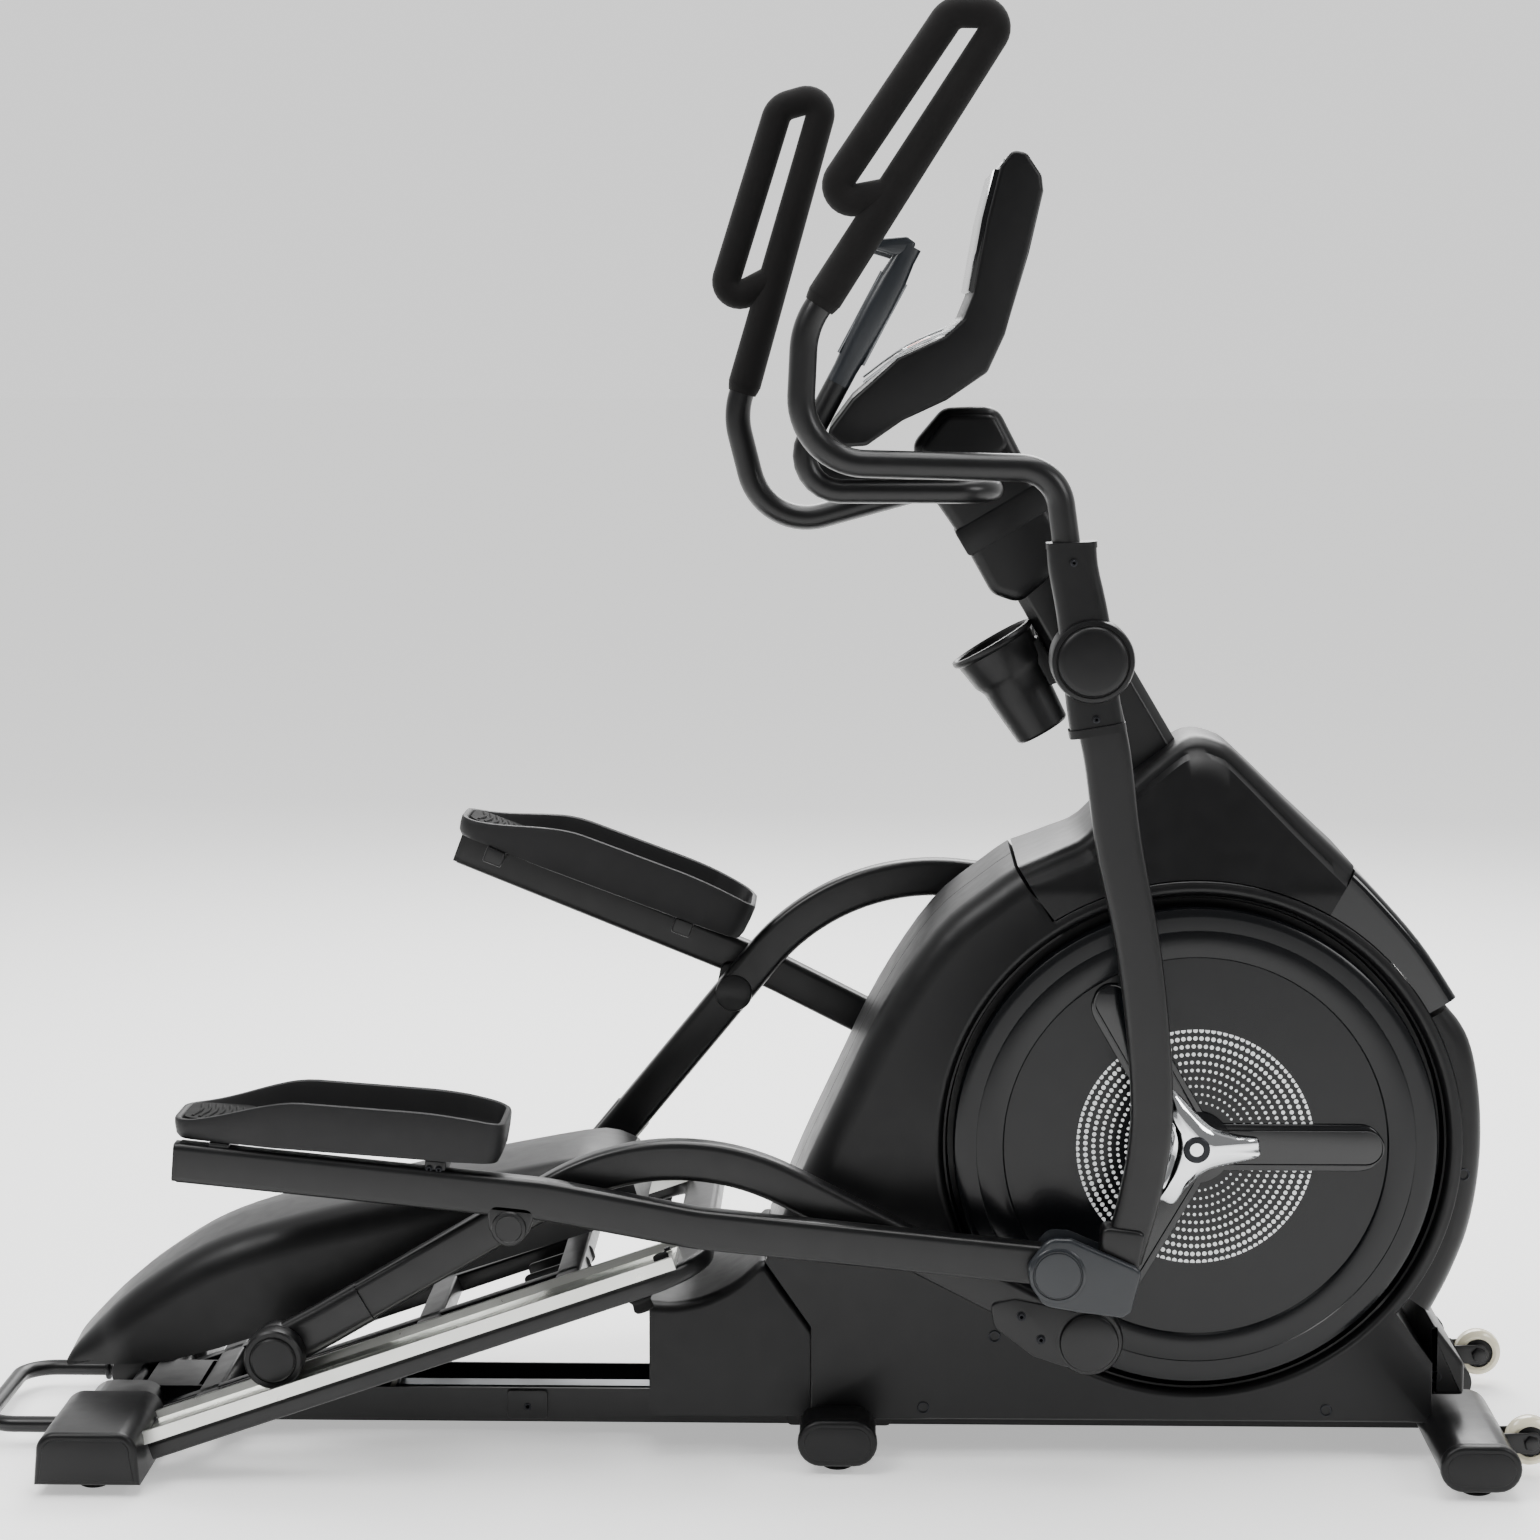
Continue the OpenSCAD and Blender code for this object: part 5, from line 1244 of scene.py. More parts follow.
@dataclass
class Console:
    """The console: a deep moulded shell, a gloss display glass, and a sloping keypad."""

    origin: Flat = (213.53, 1325.77)
    half: float = 190.0
    shell: tuple[Flat, ...] = ((-125, -22), (-104, -38), (-74, -36), (-30, -5), (24, 20), (74, 54), (95, 100),
                               (122, 198), (140, 275), (138, 293), (120, 320), (103, 324), (88, 305), (72, 240),
                               (56, 150), (44, 120), (20, 98), (-36, 72), (-92, 22))
    key_rows: tuple[float, ...] = (-132.0, -104.0, -76.0, 76.0, 104.0, 132.0)

    def place(self, points: Iterable[Flat]) -> list[Flat]:
        """Puts points of the console's own side view on the machine."""
        return [(self.origin[0] + x, self.origin[1] + z) for x, z in points]

    def build(self) -> None:
        """Makes every piece of the console."""
        bm = bmesh.new()
        outline = rounded(self.place(self.shell), 12, 4)
        add_plate(bm, outline, -self.half, self.half, 6, 4)
        dress(as_piece("console_housing", bm, 40), Finishes.SHELL, "root", "console_shell")
        bm = bmesh.new()
        add_plate(bm, rounded(self.place([(54, 151), (50.5, 153), (66, 241), (81, 301), (84.5, 300), (90, 301),
                                          (74, 240), (60, 151)]), 1.2, 2), -self.half + 9, self.half - 9, 0.8)
        rear = [(98, 110), (124, 199), (141, 274), (139, 291), (122, 317), (116, 316), (131, 288), (116, 200),
                (90, 112)]
        add_plate(bm, rounded(self.place(rear), 2, 2), -self.half + 16, self.half - 16, 1)
        dress(as_piece("display_glass", bm), Finishes.GLOSS, "root", "console_face")
        self.build_trim()
        self.build_keys()

    def build_trim(self) -> None:
        """Makes the bright trim lines that run down both cheeks of the display."""
        bm = bmesh.new()
        line = self.place(smooth([(93, 312), (80, 255), (66, 185), (57, 138), (40, 112), (-20, 84), (-78, 42)], 4))
        for side in Side:
            add_tube(bm, [spot(p, side.value * (self.half - 4.5)) for p in line], round_section(3.2, 8))
        dress(as_piece("console_trim", bm), Finishes.SILVER)

    def key_block(self, bm: bmesh.types.BMesh, along: float, y: float, length: float, width: float,
                  high: float) -> None:
        """Adds one rounded key that lies on the sloping keypad.

        Args:
            bm: the mesh to add to.
            along: the key's place up the slope.
            y: its place across the machine.
            length: its size up the slope.
            width: its size across.
            high: how far it stands out.
        """
        slope = heading((-36, 72), (20, 98))
        base = (-36 + math.cos(math.radians(slope)) * along, 72 + math.sin(math.radians(slope)) * along)
        up = polar(1, slope + 90)
        low, top = (self.place([(base[0] + up[0] * h, base[1] + up[1] * h)])[0] for h in (-0.5, high))
        tangent = direction(slope)
        plan = rounded([(length / 2, width / 2), (-length / 2, width / 2), (-length / 2, -width / 2),
                        (length / 2, -width / 2)], min(length, width) * 0.35, 4)
        rings = []
        for share, pull in ((0, 0), (0.6, 0), (0.9, 0.8), (1, 2)):
            centre = spot(low, y).lerp(spot(top, y), share)
            rings.append([centre + (tangent * a + Y_AXIS * b) * MM for a, b in inset_outline(plan, pull)])
        add_loft(bm, rings)

    def build_keys(self) -> None:
        """Makes the keypad panel, its small keys and the two sprung round keys."""
        bm = bmesh.new()
        self.key_block(bm, 31, 0, 54, 2 * self.half - 40, 1.2)
        dress(as_piece("keypad_panel", bm), Finishes.GLOSS)
        silver, orange = bmesh.new(), bmesh.new()
        for i, y in enumerate(self.key_rows):
            for along in (18, 44):
                self.key_block(orange if i in (2, 3) and along == 44 else silver, along, y, 15, 20, 3.4)
        for along in (18, 44):
            self.key_block(silver, along, 0, 13, 26, 3.2)
        dress(as_piece("silver_keys", silver), Finishes.SILVER)
        dress(as_piece("orange_keys", orange), Finishes.ORANGE)
        slope = math.atan2(26, 56)
        normal = Vector((-math.sin(slope), 0, math.cos(slope)))
        for name, y, finish in (("start_key", -45, Finishes.SILVER), ("stop_key", 45, Finishes.ORANGE)):
            bm = bmesh.new()
            at = spot(self.place([(-8, 85)])[0], y)
            add_lathe(bm, at, normal, [(14.5, -6), (14.8, 2.2), (13.6, 3.8), (11, 4.2), (6, 3.4), (0.1, 3.1)], 36)
            dress(as_piece(f"{name}_cap", bm), finish, name, name)


@dataclass
class PulseBar:
    """The fixed handlebar with its pulse grips, one bent tube from grip to grip."""

    y: float = 168.0
    d: float = 30.0
    lean: float = 62.0
    back: float = 262.0
    rise: float = 150.0

    def build(self) -> None:
        """Makes the tube, the grips and their steel sensor plates."""
        root = Mast().along(232)
        turn = (root[0] - self.back, root[1])
        end = polar(self.rise, self.lean, turn)
        half = [spot(end, self.y), spot(turn, self.y), spot(root, self.y)]
        path = half + [Vector((p.x, -p.y, p.z)) for p in reversed(half)]
        bm = bmesh.new()
        add_tube(bm, fillet_path(path, [0, 0.062, 0.05, 0.05, 0.062, 0], 8), round_section(self.d), across=Y_AXIS)
        dress(as_piece("pulse_bar_tube", bm), Finishes.POWDER, "root", "pulse_bar")
        grips, plates = bmesh.new(), bmesh.new()
        for side in Side:
            path = [spot(polar(t, self.lean, end), side.value * self.y)
                    for t in (0, 4, 20, 60, 100, 140, 172, 186, 190)]
            sizes = [0.86, 0.98, 1.0, 1.04, 1.06, 1.04, 1.0, 0.96, 0.8]
            add_tube(grips, path, box_section(35, 33, 14, 6), scale=lambda t: sizes[min(int(t * 8.99), 8)])
            wing = [(182, -6), (196, -4), (198, 10), (176, 44), (164, 42), (170, 12)]
            blade = rounded([polar(math.hypot(t, o), self.lean + math.degrees(math.atan2(o, t)), end)
                             for t, o in wing], 5)
            add_plate(grips, blade, side.value * (self.y - 13), side.value * (self.y + 13), 4)
            for off in (-1, 1):
                face = polar(17.2, self.lean + 90 * off)
                strip = [spot((p[0] + face[0], p[1] + face[1]), side.value * self.y)
                         for p in (polar(t, self.lean, end) for t in (34, 40, 90, 140, 146))]
                add_tube(plates, strip, box_section(3.4, 20, 1.6, 3))
        dress(as_piece("pulse_grip_mouldings", grips), Finishes.COVER, "root", "pulse_grips")
        dress(as_piece("pulse_sensor_plates", plates), Finishes.STEEL)


# ---------------------------------------------------------------- crank, links and arms


@dataclass
class CrankDisc:
    """A crank disc with raised ribs, printed rings of dots and a chrome star on its hub."""

    side: Side
    r: float = 305.0
    ring_r: float = 243.0
    face: float = 166.0
    back: float = 132.0
    rib_w: float = 60.0
    rib_end: float = 236.0

    def turned(self, points: Iterable[Flat], step: int) -> list[Flat]:
        """Puts points drawn along one rib on the rib of that number."""
        return shifted(CRANK, self.side.crank_degrees + 120 * step, points)

    def build(self) -> None:
        """Makes the disc, its ribs and its star."""
        sign, word = self.side.value, self.side.word
        bm = bmesh.new()
        profile = [(30, self.back), (self.r - 6, self.back), (self.r, self.back + 5), (self.r, self.face - 7),
                   (self.r - 2, self.face - 3), (self.r - 6, self.face - 0.6), (self.r - 12, self.face),
                   (self.ring_r + 34, self.face), (self.ring_r + 33, self.face - 0.8), (self.ring_r + 31, self.face),
                   (self.ring_r + 3, self.face), (self.ring_r, self.face - 1.2), (self.ring_r - 2, self.face - 5),
                   (0.1, self.face - 5)]
        add_lathe(bm, spot(CRANK, 0), Y_AXIS * sign, profile, 120)
        dotted = DottedFinish("dotted_abs", "#07080a", "disc_black", 0.24, ior=1.53, gleam=0.25, coat=0.1,
                              coat_roughness=0.08,
                              grain_depth=0.0, rough_spread=0.04, centre=CRANK)
        dress(as_piece(f"{word}_disc_face", bm), dotted, "crank", f"{word}_crank_disc")
        bm = bmesh.new()
        for step in range(3):
            rib = self.rib_outline(self.rib_w)
            add_plate(bm, self.turned(rib, step), sign * (self.face - 6), sign * (self.face - 0.6), 2.2)
            line = [spot(p, sign * (self.face - 0.6)) for p in self.turned(self.rib_outline(self.rib_w - 16), step)]
            add_tube(bm, line, round_section(3, 8), loop=True)
        dress(as_piece(f"{word}_disc_ribs", bm), Finishes.GLOSS, "crank")
        bm = bmesh.new()
        add_knob(bm, CRANK, self.side, self.face - 5, self.face + 0.4, 46, 1)
        dress(as_piece(f"{word}_hub_plate", bm), Finishes.GLOSS, "crank")
        self.build_star()

    def rib_outline(self, width: float) -> list[Flat]:
        """Returns a rib that runs from the hub to a round end."""
        h = width / 2
        return [(18, -h)] + arc((self.rib_end - h, 0), h, -90, 90, 14) + [(18, h)]

    def build_star(self) -> None:
        """Makes the three-armed chrome hub with its dark screw."""
        sign, word = self.side.value, self.side.word
        bm = bmesh.new()
        arm = [(76, -13), (80, 0), (76, 13), (50, 17)]
        outline: list[Flat] = []
        for step in range(3):
            outline += self.turned(arm, step)
            outline += self.turned([polar(33, 60)], step)
        outline = smooth(outline, 5, closed=True)
        low, rings = self.face - 0.4, []
        for lift, share in ((0, 1.0), (3, 1.0), (6, 0.96), (10, 0.84), (13, 0.66), (14.6, 0.45), (15, 0.3)):
            rings.append([spot((CRANK[0] + (x - CRANK[0]) * share, CRANK[1] + (z - CRANK[1]) * share),
                               sign * (low + lift)) for x, z in outline])
        add_loft(bm, rings)
        nodes = ("hub_stars",) if self.side is Side.RIGHT else ()
        dress(as_piece(f"{word}_hub_star", bm, 50), Finishes.CHROME, "crank", *nodes)
        bm = bmesh.new()
        add_lathe(bm, spot(CRANK, sign * (low + 13)), Y_AXIS * sign,
                  [(17, 0), (17, 2), (15, 3.6), (9, 4), (8.4, 2), (0.1, 1.6)], 32)
        dress(as_piece(f"{word}_hub_screw", bm), Finishes.BOLT, "crank")


@dataclass
class RollerLink:
    """A roller link: an arched tube with its roller, sleeve, pivot boss and crank pin cap."""

    side: Side
    length: float = 1020.0
    throw: float = 271.0
    tube_h: float = 50.0
    tube_w: float = 34.0
    apex: Flat = (500.0, 279.0)
    apex_bend: float = 300.0
    pivot: Flat = (302.0, 168.0)
    roller_in: float = 231.0
    roller_w: float = 32.0
    roller_r: float = 37.7

    @property
    def roller(self) -> Flat:
        """The roller's centre."""
        return pivot(f"{self.side.word}_link_swing")

    @property
    def angle(self) -> float:
        """The link's heading from its roller to its crank pin."""
        pin = polar(self.throw, self.side.crank_degrees, CRANK)
        return heading(self.roller, pin)

    def at(self, points: Iterable[Flat]) -> list[Flat]:
        """Puts points of the link's own side view on the machine."""
        return shifted(self.roller, self.angle, points)

    def build(self) -> None:
        """Makes the link, its sleeve and cap, and the roller."""
        sign, word = self.side.value, self.side.word
        body = f"{word}_link"
        bm = bmesh.new()
        path = fillet_path([spot(p, sign * LINK_Y) for p in self.at([(20, 11), self.apex, (self.length - 10, 6)])],
                           [0, self.apex_bend * MM, 0], 24)
        add_tube(bm, path, box_section(self.tube_h, self.tube_w, 9, 5))
        # Cast sleeve that grips the tube at the roller, with a long rounded snout
        snout = fillet_path([spot(p, sign * (LINK_Y + 4)) for p in self.at([(-4, 0), (60, 33), (112, 62)])],
                            [0, 0.08, 0], 5)
        add_tube(bm, snout, box_section(54, 34, 14, 5))
        add_lathe(bm, spot(self.roller, sign * (LINK_Y - 19)), Y_AXIS * sign,
                  [(10.2, 0), (26, 0), (27, 1), (27, 10), (33, 11), (35, 13), (35, 33), (33, 36), (30, 37), (10.2, 37)],
                  48)
        # Boss of the pedal arm's pivot
        add_knob(bm, self.at([self.pivot])[0], self.side, LINK_Y - 20, LINK_Y + 25, 25, 3)
        # Crank pin end: a forged eye with a stepped cap and a clamping bracket
        pin = self.at([(self.length, 0)])[0]
        add_lathe(bm, spot(pin, sign * (LINK_Y - 17)), Y_AXIS * sign,
                  [(16, -25), (16, 0), (40, 0), (43, 3), (43, 33), (41, 36), (37, 36.5), (37, 41), (35.5, 44),
                   (32, 45.4),
                   (6, 45.4)], 56)
        bracket = rounded(self.at([(self.length - 12, 40), (self.length - 92, 58), (self.length - 124, 52),
                                   (self.length - 118, 20), (self.length - 70, -18), (self.length - 20, -36)]), 12)
        add_plate(bm, bracket, sign * (LINK_Y - 20), sign * (LINK_Y + 19), 3)
        dress(as_piece(f"{word}_link_tube", bm, 35), Finishes.POWDER, body, f"{word}_roller_link")
        bm = bmesh.new()
        for along, up in ((-84, 34), (-60, 4)):
            add_screw(bm, spot(self.at([(self.length + along, up)])[0], sign * (LINK_Y + 19)), Y_AXIS * sign, 4.5)
        dress(as_piece(f"{word}_link_screws", bm), Finishes.BOLT, body)
        self.build_roller()

    def build_roller(self) -> None:
        """Makes the wheel with its crowned tyre and the domed cap over its axle."""
        sign, word = self.side.value, self.side.word
        r, w = self.roller_r, self.roller_w
        bm = bmesh.new()
        add_lathe(bm, spot(self.roller, sign * self.roller_in), Y_AXIS * sign,
                  [(10.1, 1), (r - 9, 1), (r - 8, 0), (r - 3, 0), (r - 0.6, 2), (r, 6), (r, w - 6), (r - 0.6, w - 2),
                   (r - 3, w), (r - 8, w), (r - 9, w - 1), (10.1, w - 1)], 56)
        dress(as_piece(f"{word}_roller_tyre", bm), Finishes.SHELL, f"{word}_roller", f"{word}_roller")
        bm = bmesh.new()
        add_lathe(bm, spot(self.roller, sign * (self.roller_in + w - 0.6)), Y_AXIS * sign,
                  [(r - 10, 0), (r - 10, 2), (r - 12, 3.4), (6, 4.2)], 48)
        dress(as_piece(f"{word}_roller_cap", bm), Finishes.SHELL, f"{word}_roller")


@dataclass
class PedalArm:
    """A pedal arm with its pivot lug and the pedal's tray."""

    side: Side
    tube_h: float = 50.0
    tube_w: float = 34.0
    run: tuple[Flat, ...] = ((-416, 49), (40, 37), (230, 16), (664, 5))
    pedal_z: float = 77.0
    pedal_len: float = 414.0
    pedal_w: float = 150.0
    toe: float = -14.0
    rim: float = 62.0
    heel_rim: float = 25.0
    heel_rise: float = 165.0
    toe_fall: float = 12.0
    fall_from: float = -130.0

    @property
    def root(self) -> Flat:
        """The arm's pivot on the roller link."""
        return RollerLink(self.side).at([RollerLink(self.side).pivot])[0]

    @property
    def end(self) -> Flat:
        """The arm's hinge on the swing arm."""
        return pivot(f"{self.side.word}_pedal_arm_swing")

    def at(self, points: Iterable[Flat]) -> list[Flat]:
        """Puts points of the arm's own side view on the machine."""
        return shifted(self.root, heading(self.root, self.end), points)

    def build(self) -> None:
        """Makes the arm's tube with its lugs, and the pedal."""
        sign, word = self.side.value, self.side.word
        body = f"{word}_pedal_arm"
        bm = bmesh.new()
        path = fillet_path([spot(p, sign * ARM_Y) for p in self.at(self.run)], [0, 0.4, 0.4, 0], 8)
        add_tube(bm, path, box_section(self.tube_h, self.tube_w, 9, 5))
        cap = self.at([(-422, 49), (-414, 49)])
        add_tube(bm, [spot(p, sign * ARM_Y) for p in cap], box_section(self.tube_h - 2, self.tube_w - 2, 8, 5))
        add_lathe(bm, spot(self.end, sign * (ARM_Y - 17)), Y_AXIS * sign,
                  [(13.1, 0), (20, 0), (20, 34), (13.1, 34)], 36)
        # Pivot lug under the tube, with a turned cap on its outer face
        add_plate(bm, rounded(self.at([(-30, 30), (-24, -6), (0, -24), (24, -6), (34, 28)]), 14), sign * 237,
                  sign * 279, 3)
        add_lathe(bm, spot(self.root, sign * 236), Y_AXIS * sign,
                  [(10, 0), (22, 0), (22, 44), (20.5, 46), (17, 46.5), (16, 45.4), (4, 45.4)], 40)
        for x in (-380, -110):
            bar = rounded(self.at([(x, 56), (x + 26, 56), (x + 26, self.pedal_z), (x, self.pedal_z)]), 3)
            add_plate(bm, bar, sign * 152, sign * 272, 2)
        dress(as_piece(f"{word}_arm_tube", bm, 35), Finishes.POWDER, body, f"{word}_pedal_arm")
        bm = bmesh.new()
        for x in (-374, -104):
            for lift in (0, 12):
                add_screw(bm, spot(self.at([(x + lift, 66)])[0], sign * 272), Y_AXIS * sign, 3.6)
        dress(as_piece(f"{word}_pedal_bolts", bm), Finishes.BOLT, body)
        self.build_pedal()

    def plan(self, pull: float) -> list[Flat]:
        """Returns the pedal's plan as (along, across) points, moved inwards by `pull`.

        Args:
            pull: how far the outline is moved inwards.

        Returns:
            The closed outline.
        """
        half = self.pedal_w / 2
        heel, toe = self.toe - self.pedal_len, self.toe
        corners = [(toe, -half + 8), (toe, half - 8), (toe - 60, half), (heel + 130, half), (heel, half * 0.74),
                   (heel, -half * 0.74), (heel + 130, -half), (toe - 60, -half)]
        fine = dense(rounded(corners, [42, 42, 30, 90, 34, 34, 90, 30], 8), 14)
        return inset_outline(fine, pull)

    def rim_height(self, x: float) -> float:
        """Returns the rim's height: low at the heel, full at the toe.

        Args:
            x: the place along the pedal.

        Returns:
            The height above the pedal's underside.
        """
        share = min(max((x - self.toe + self.pedal_len) / self.heel_rise, 0.0), 1.0)
        ease = share * share * (3 - 2 * share)
        fall = max(0.0, (x - self.fall_from) / (self.toe - self.fall_from)) ** 2 * self.toe_fall
        return self.heel_rim + (self.rim - self.heel_rim) * ease - fall

    def build_pedal(self) -> None:
        """Makes the tray: flared walls, a rolled rim and a floor with raised treads."""
        sign, word = self.side.value, self.side.word
        middle = 287.0 - self.pedal_w / 2
        angle = heading(self.root, self.end)

        def place(x: float, y: float, z: float) -> Vector:
            """Puts a point of the pedal's own frame on the machine."""
            return spot(shifted(self.root, angle, [(x, self.pedal_z + z)])[0], sign * middle + y)

        rings = []
        levels = ((12, 0.0, 0), (7, 0.02, 0), (3, 0.2, 0), (0.8, 0.6, 0), (0.2, 0.9, 0), (1.2, 0.98, 0), (4, 1.0, 0),
                  (7.5, 0.97, 0), (9.5, 0.86, 0), (12, 0.5, 6), (16, 0.12, 11), (22, 0.0, 12))
        for pull, share, floor in levels:
            rings.append([place(x, y, floor + (self.rim_height(x) - floor) * share) for x, y in self.plan(pull)])
        rings.append([place(x, y, 12) for x, y in self.plan(34)])
        bm = bmesh.new()
        add_loft(bm, rings)
        for i in range(9):
            x = -96 - i * 34
            for y in (-34, 0, 34):
                rib = [place(x + k, y + 12 * t, 12.4) for t, k in ((-1, -6), (0, 5), (1, -6))]
                add_tube(bm, rib, round_section(4.4, 8), across=Z_AXIS)
        body = f"{word}_pedal_arm"
        dress(as_piece(f"{word}_pedal_tray", bm, 44), Finishes.PEDAL, body, f"{word}_pedal")
        bm = bmesh.new()
        for i in range(7):
            x = -398 + i * 9
            span = 40 - abs(i - 2) * 3
            rib = [place(x - abs(t) * 7, t * span, 27.6 - abs(t) * 1.4) for t in (-1, -0.6, -0.2, 0.2, 0.6, 1)]
            add_tube(bm, rib, round_section(4.2, 8), across=Z_AXIS)
        heel = [place(x, y, 26.6) for x, y in rounded([(-416, -44), (-416, 44), (-336, 52), (-336, -52)], 18)]
        low = [p - Vector((0, 0, 16)) * MM for p in heel]
        add_loft(bm, [low, heel])
        dress(as_piece(f"{word}_pedal_heel_tread", bm, 44), Finishes.RUBBER, body)


@dataclass
class SwingArm:
    """A swing arm: casting on the axle, bent lower tube, handlebar, foam grip and joint cover."""

    side: Side
    length: float = 758.0
    tube_h: float = 56.0
    tube_w: float = 34.0
    bar_d: float = 34.0
    foam_d: float = 42.0
    lower: tuple[Flat, ...] = ((10, -60), (26, -120), (45, -222), (77, -351), (98, -475), (106, -575), (97, -662),
                               (80, -740))
    bar: tuple[Flat, ...] = ((-28, 82), (-56, 229), (-368, 222), (-368, 384), (-316, 472))
    foam: tuple[Flat, ...] = ((-346, 420), (-145, 767), (-211, 765), (-356, 528), (-272, 548))
    cover: tuple[Flat, ...] = ((-40, 8), (-14, 46), (14, 46), (104, 12), (93, -42), (82, -50), (30, -46), (-18, -40))

    @property
    def turn(self) -> float:
        """The arm's turn from hanging straight down."""
        return heading(SWING, pivot(f"{self.side.word}_pedal_arm_swing")) + 90

    def at(self, points: Iterable[Flat]) -> list[Flat]:
        """Puts points of the arm's own side view on the machine."""
        return shifted(SWING, self.turn, points)

    def line(self, points: Iterable[Flat]) -> list[Vector]:
        """Puts a path of the arm's own side view in the arm's plane."""
        return [spot(p, self.side.value * ARM_Y) for p in self.at(points)]

    def build(self) -> None:
        """Makes every piece of the arm."""
        sign, word = self.side.value, self.side.word
        body = f"{word}_swing_arm"
        bm = bmesh.new()
        add_tube(bm, self.line(smooth(self.lower, 6)), box_section(self.tube_h, self.tube_w, 11, 6),
                 scale=lambda t: 1.04 - 0.16 * t)
        add_tube(bm, fillet_path(self.line(self.bar), [0, 0.052, 0.114, 0.1, 0], 14), round_section(self.bar_d))
        foot = -self.length
        for y in (239.9, 279.6):
            cheek = rounded(self.at([(-26, foot), (-14, foot + 22), (98, foot + 14), (90, foot - 38),
                                     (-10, foot - 22)]), 12)
            add_plate(bm, cheek, sign * y, sign * (y + 4.5), 1)
        block = rounded(self.at([(52, foot + 60), (106, foot + 56), (94, foot - 36), (50, foot - 28)]), 10)
        add_plate(bm, block, sign * 241, sign * 283, 4)
        add_knob(bm, self.at([(0, foot)])[0], self.side, 240, 284, 8, 1)
        dress(as_piece(f"{word}_swing_tube", bm, 35), Finishes.POWDER, body, f"{word}_swing_arm")
        self.build_casting(body)
        self.build_foam(body)
        self.build_cover(body)

    def build_casting(self, body: str) -> None:
        """Makes the cast cross piece round the axle, with mouths for both tubes.

        Args:
            body: the body that the pieces ride on.
        """
        sign, word = self.side.value, self.side.word
        bm = bmesh.new()
        spine = self.line(smooth([(-33, 141), (-29, 110), (-16, 60), (-4, 0), (4, -50), (12, -88)], 3))
        widths = (60, 60, 62, 66, 65, 66)
        add_tube(bm, spine, box_section(62, 42, 15, 6),
                 scale=lambda t: widths[min(int(t * 5), 4)] / 62 * (1 - (t * 5) % 1)
                 + widths[min(int(t * 5) + 1, 5)] / 62 * ((t * 5) % 1))
        for along, size in ((-0.02, 62), (1.0, 70)):
            mouth = spine[0] if along < 0 else spine[-1]
            inner = spine[1] if along < 0 else spine[-2]
            add_tube(bm, [mouth.lerp(inner, 0.9), mouth.lerp(inner, 0.5), mouth.lerp(inner, -0.15)],
                     box_section(size, size - 18, 16, 6))
        add_lathe(bm, spot(SWING, sign * 227.5), Y_AXIS * sign,
                  [(14.2, 0), (48, 0), (51, 3), (51, 58), (49.5, 62), (46, 63.5), (44.6, 63.5), (44, 61.5),
                   (43, 61.5), (42.4, 64.5), (40, 67), (34, 68.4), (8, 69)], 64)
        dress(as_piece(f"{word}_arm_casting", bm, 42), Finishes.SHELL, body)
        bm = bmesh.new()
        for x, z in ((-30, 118), (8, -70)):
            add_screw(bm, spot(self.at([(x, z)])[0], sign * (ARM_Y + 24.5)), Y_AXIS * sign, 3.4)
        dress(as_piece(f"{word}_casting_screws", bm), Finishes.BOLT, body)

    def build_foam(self, body: str) -> None:
        """Makes the foam grip: a thick spine and a slimmer bar that loops back to it.

        Args:
            body: the body that the pieces ride on.
        """
        word = self.side.word
        bm = bmesh.new()
        low, top, back, heel, meet = self.foam
        d = self.foam_d
        spine = fillet_path(self.line([low, top, back, heel, meet]), [0, 0.026, 0.026, 0.028, 0], 10)
        thick = lambda t: 1.06 if t < 0.36 else (1.06 - (t - 0.36) * 1.6 if t < 0.44 else 0.93)
        add_tube(bm, spine, round_section(d, 32), scale=thick)
        add_tube(bm, self.line([(low[0] - 6, low[1] - 10), (low[0] - 3, low[1] - 5), low, (low[0] + 4, low[1] + 7)]),
                 round_section(d, 32), scale=lambda t: 0.9 + 0.14 * min(t * 2, 1))
        grip = dress(as_piece(f"{word}_foam_grip", bm, 50), Finishes.FOAM, body, f"{word}_grip")

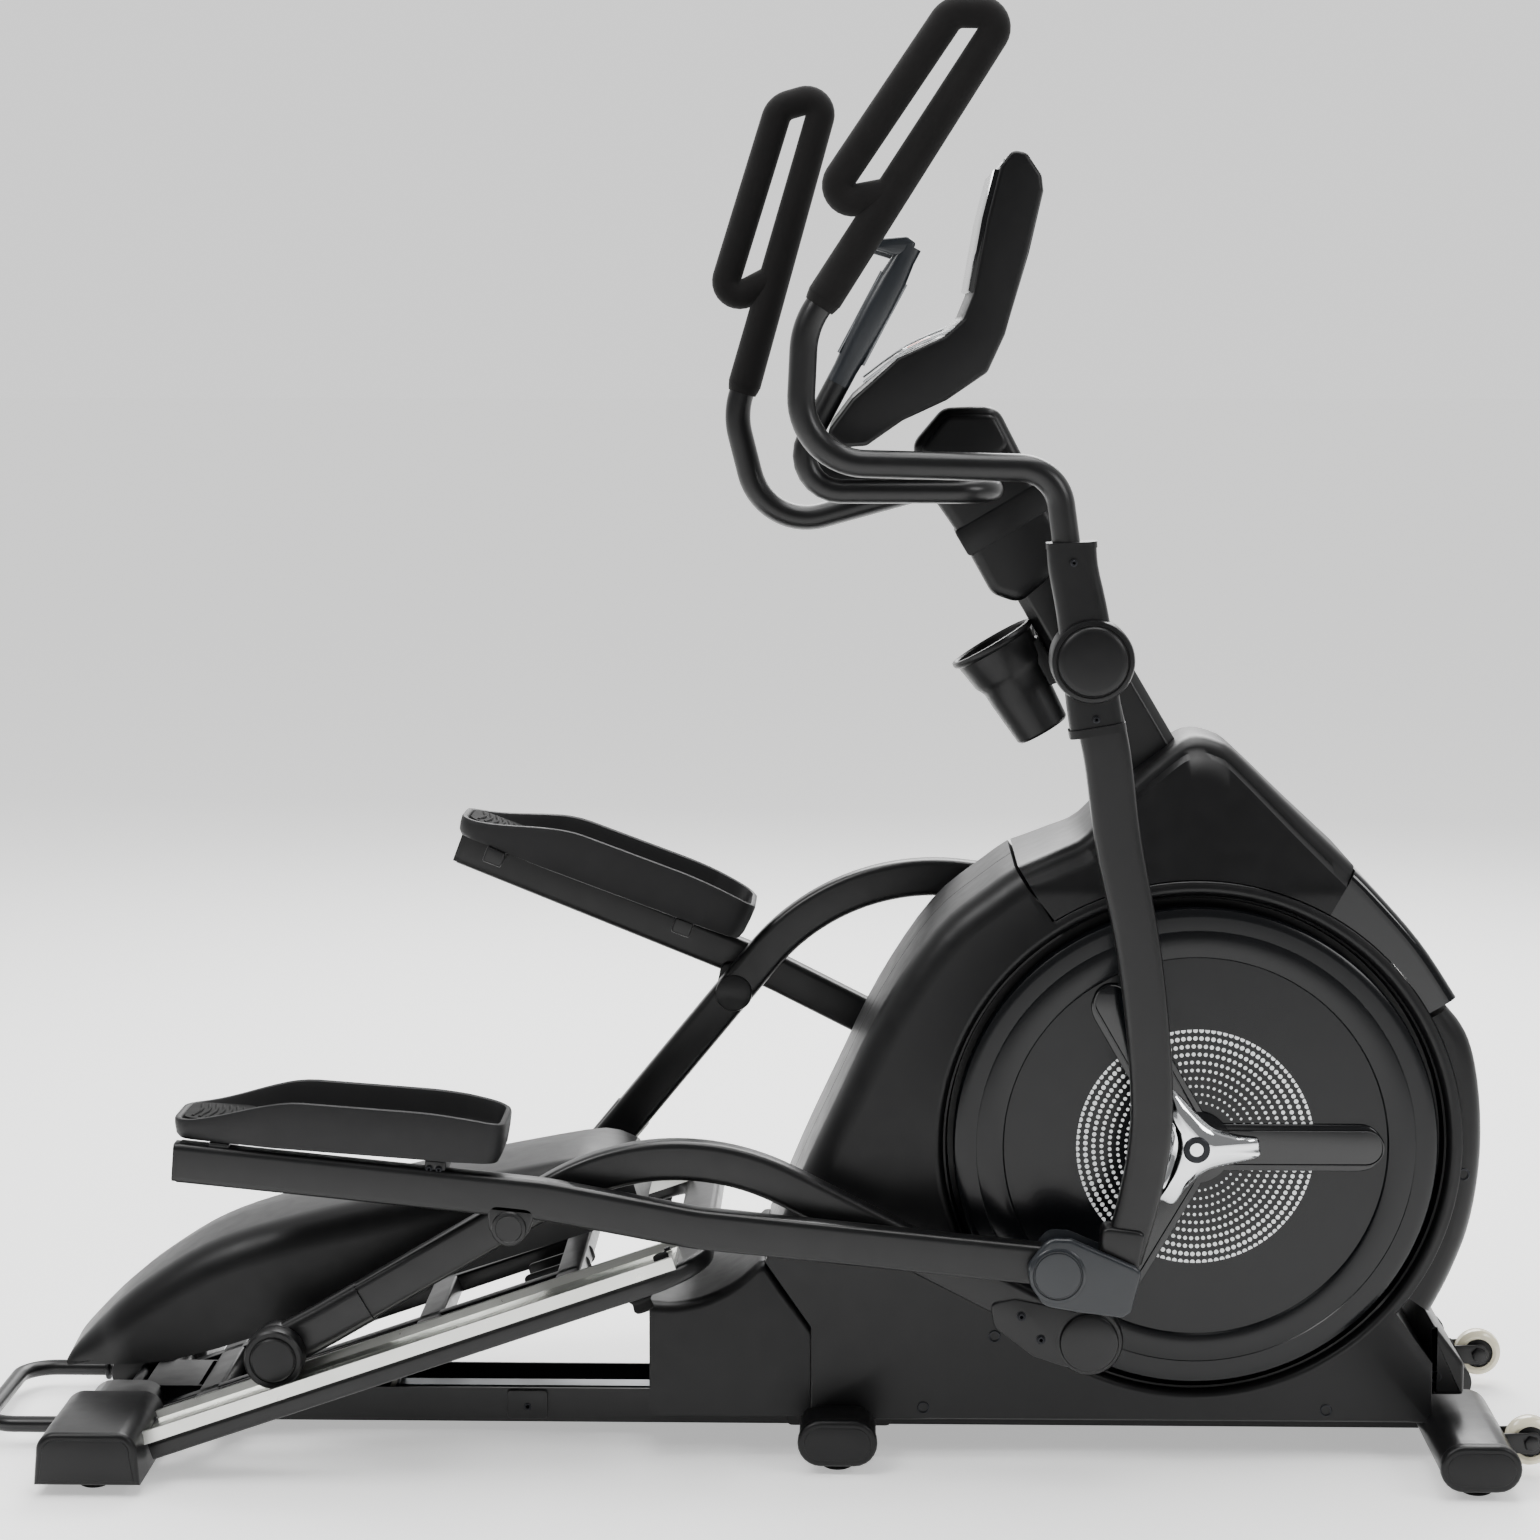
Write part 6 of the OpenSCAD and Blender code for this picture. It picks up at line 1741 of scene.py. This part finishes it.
    def build_cover(self, body: str) -> None:
        """Makes the satin cover over the hinge with the pedal arm, with its round cap.

        Args:
            body: the body that the pieces ride on.
        """
        sign, word = self.side.value, self.side.word
        bm = bmesh.new()
        foot = -self.length
        outline = rounded(self.at([(x, z + foot) for x, z in self.cover]), [18, 22, 22, 14, 10, 10, 20, 22], 6)
        inner, outer = 284.4, 297.0
        add_plate(bm, outline, sign * inner, sign * outer, 5, 4)
        add_lathe(bm, spot(self.at([(0, foot)])[0], sign * inner), Y_AXIS * sign,
                  [(36, 0), (36, 11), (34, 13.4), (31, 14.2), (30, 12.8), (29, 12.8), (28, 14.6), (24, 15), (6, 15)],
                  56)
        add_plate(bm, inset_outline(outline, 2), sign * 238.6, sign * 239.8, 0.4, 2)
        dress(as_piece(f"{word}_hinge_cover", bm, 40), Finishes.COVER, body, f"{word}_joint_cover")


@dataclass
class Drive:
    """The lift rollers, which the covers leave in view."""

    lift_r: float = 30.0

    def build(self) -> None:
        """Makes the pair of lift rollers with their grooves."""
        low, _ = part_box("lift_arm")
        at = (low.x / MM + self.lift_r, low.z / MM + self.lift_r)
        bm = bmesh.new()
        for side in Side:
            add_lathe(bm, spot(at, side.value * 22.6), Y_AXIS * side.value,
                      [(8, 0), (24, 0), (28, 1), (30, 4), (30, 19), (28, 22), (24, 23), (20, 23), (18, 21), (8, 21)],
                      48)
        dress(as_piece("lift_roller_tyres", bm), Finishes.ROLLER, "lift_arm")


def dress_frame() -> None:
    """Gives every CAD node that stays in view or inside its own finish."""
    kept = {
        Finishes.POWDER: ("base_frame", "brake_motor", "lift_motor", "lift_arm", "drive_pulley"),
        Finishes.STEEL: ("crank_bearings", "crank_axle", "brake_shoe", "push_bar", "right_roller_axle",
                         "left_roller_axle"),
        Finishes.IRON: ("flywheel",),
        Finishes.RUBBER: ("drive_belt",),
        Finishes.TRACK: ("tracks",),
        Finishes.BRONZE: ("right_link_bush", "left_link_bush", "right_arm_bush", "left_arm_bush"),
    }
    for finish, nodes in kept.items():
        for node in nodes:
            mesh = frame["nodes"][node].data
            mesh.materials.clear()
            mesh.materials.append(finish.build())
            LOG.info("%s: %s", node, finish.name)


def main() -> None:
    """Builds the machine from its sub-assemblies and sets the stage."""
    logging.basicConfig(level=logging.INFO, format="%(name)s: %(message)s")
    Studio().build()
    for part in (Base(), Ramp(), Drive(), Housing(), Mast(), Console(), PulseBar()):
        part.build()
    for side in Side:
        for part in (RollerLink(side), PedalArm(side), SwingArm(side), CrankDisc(side)):
            part.build()
    dress_frame()


if __name__ == "__main__":
    main()
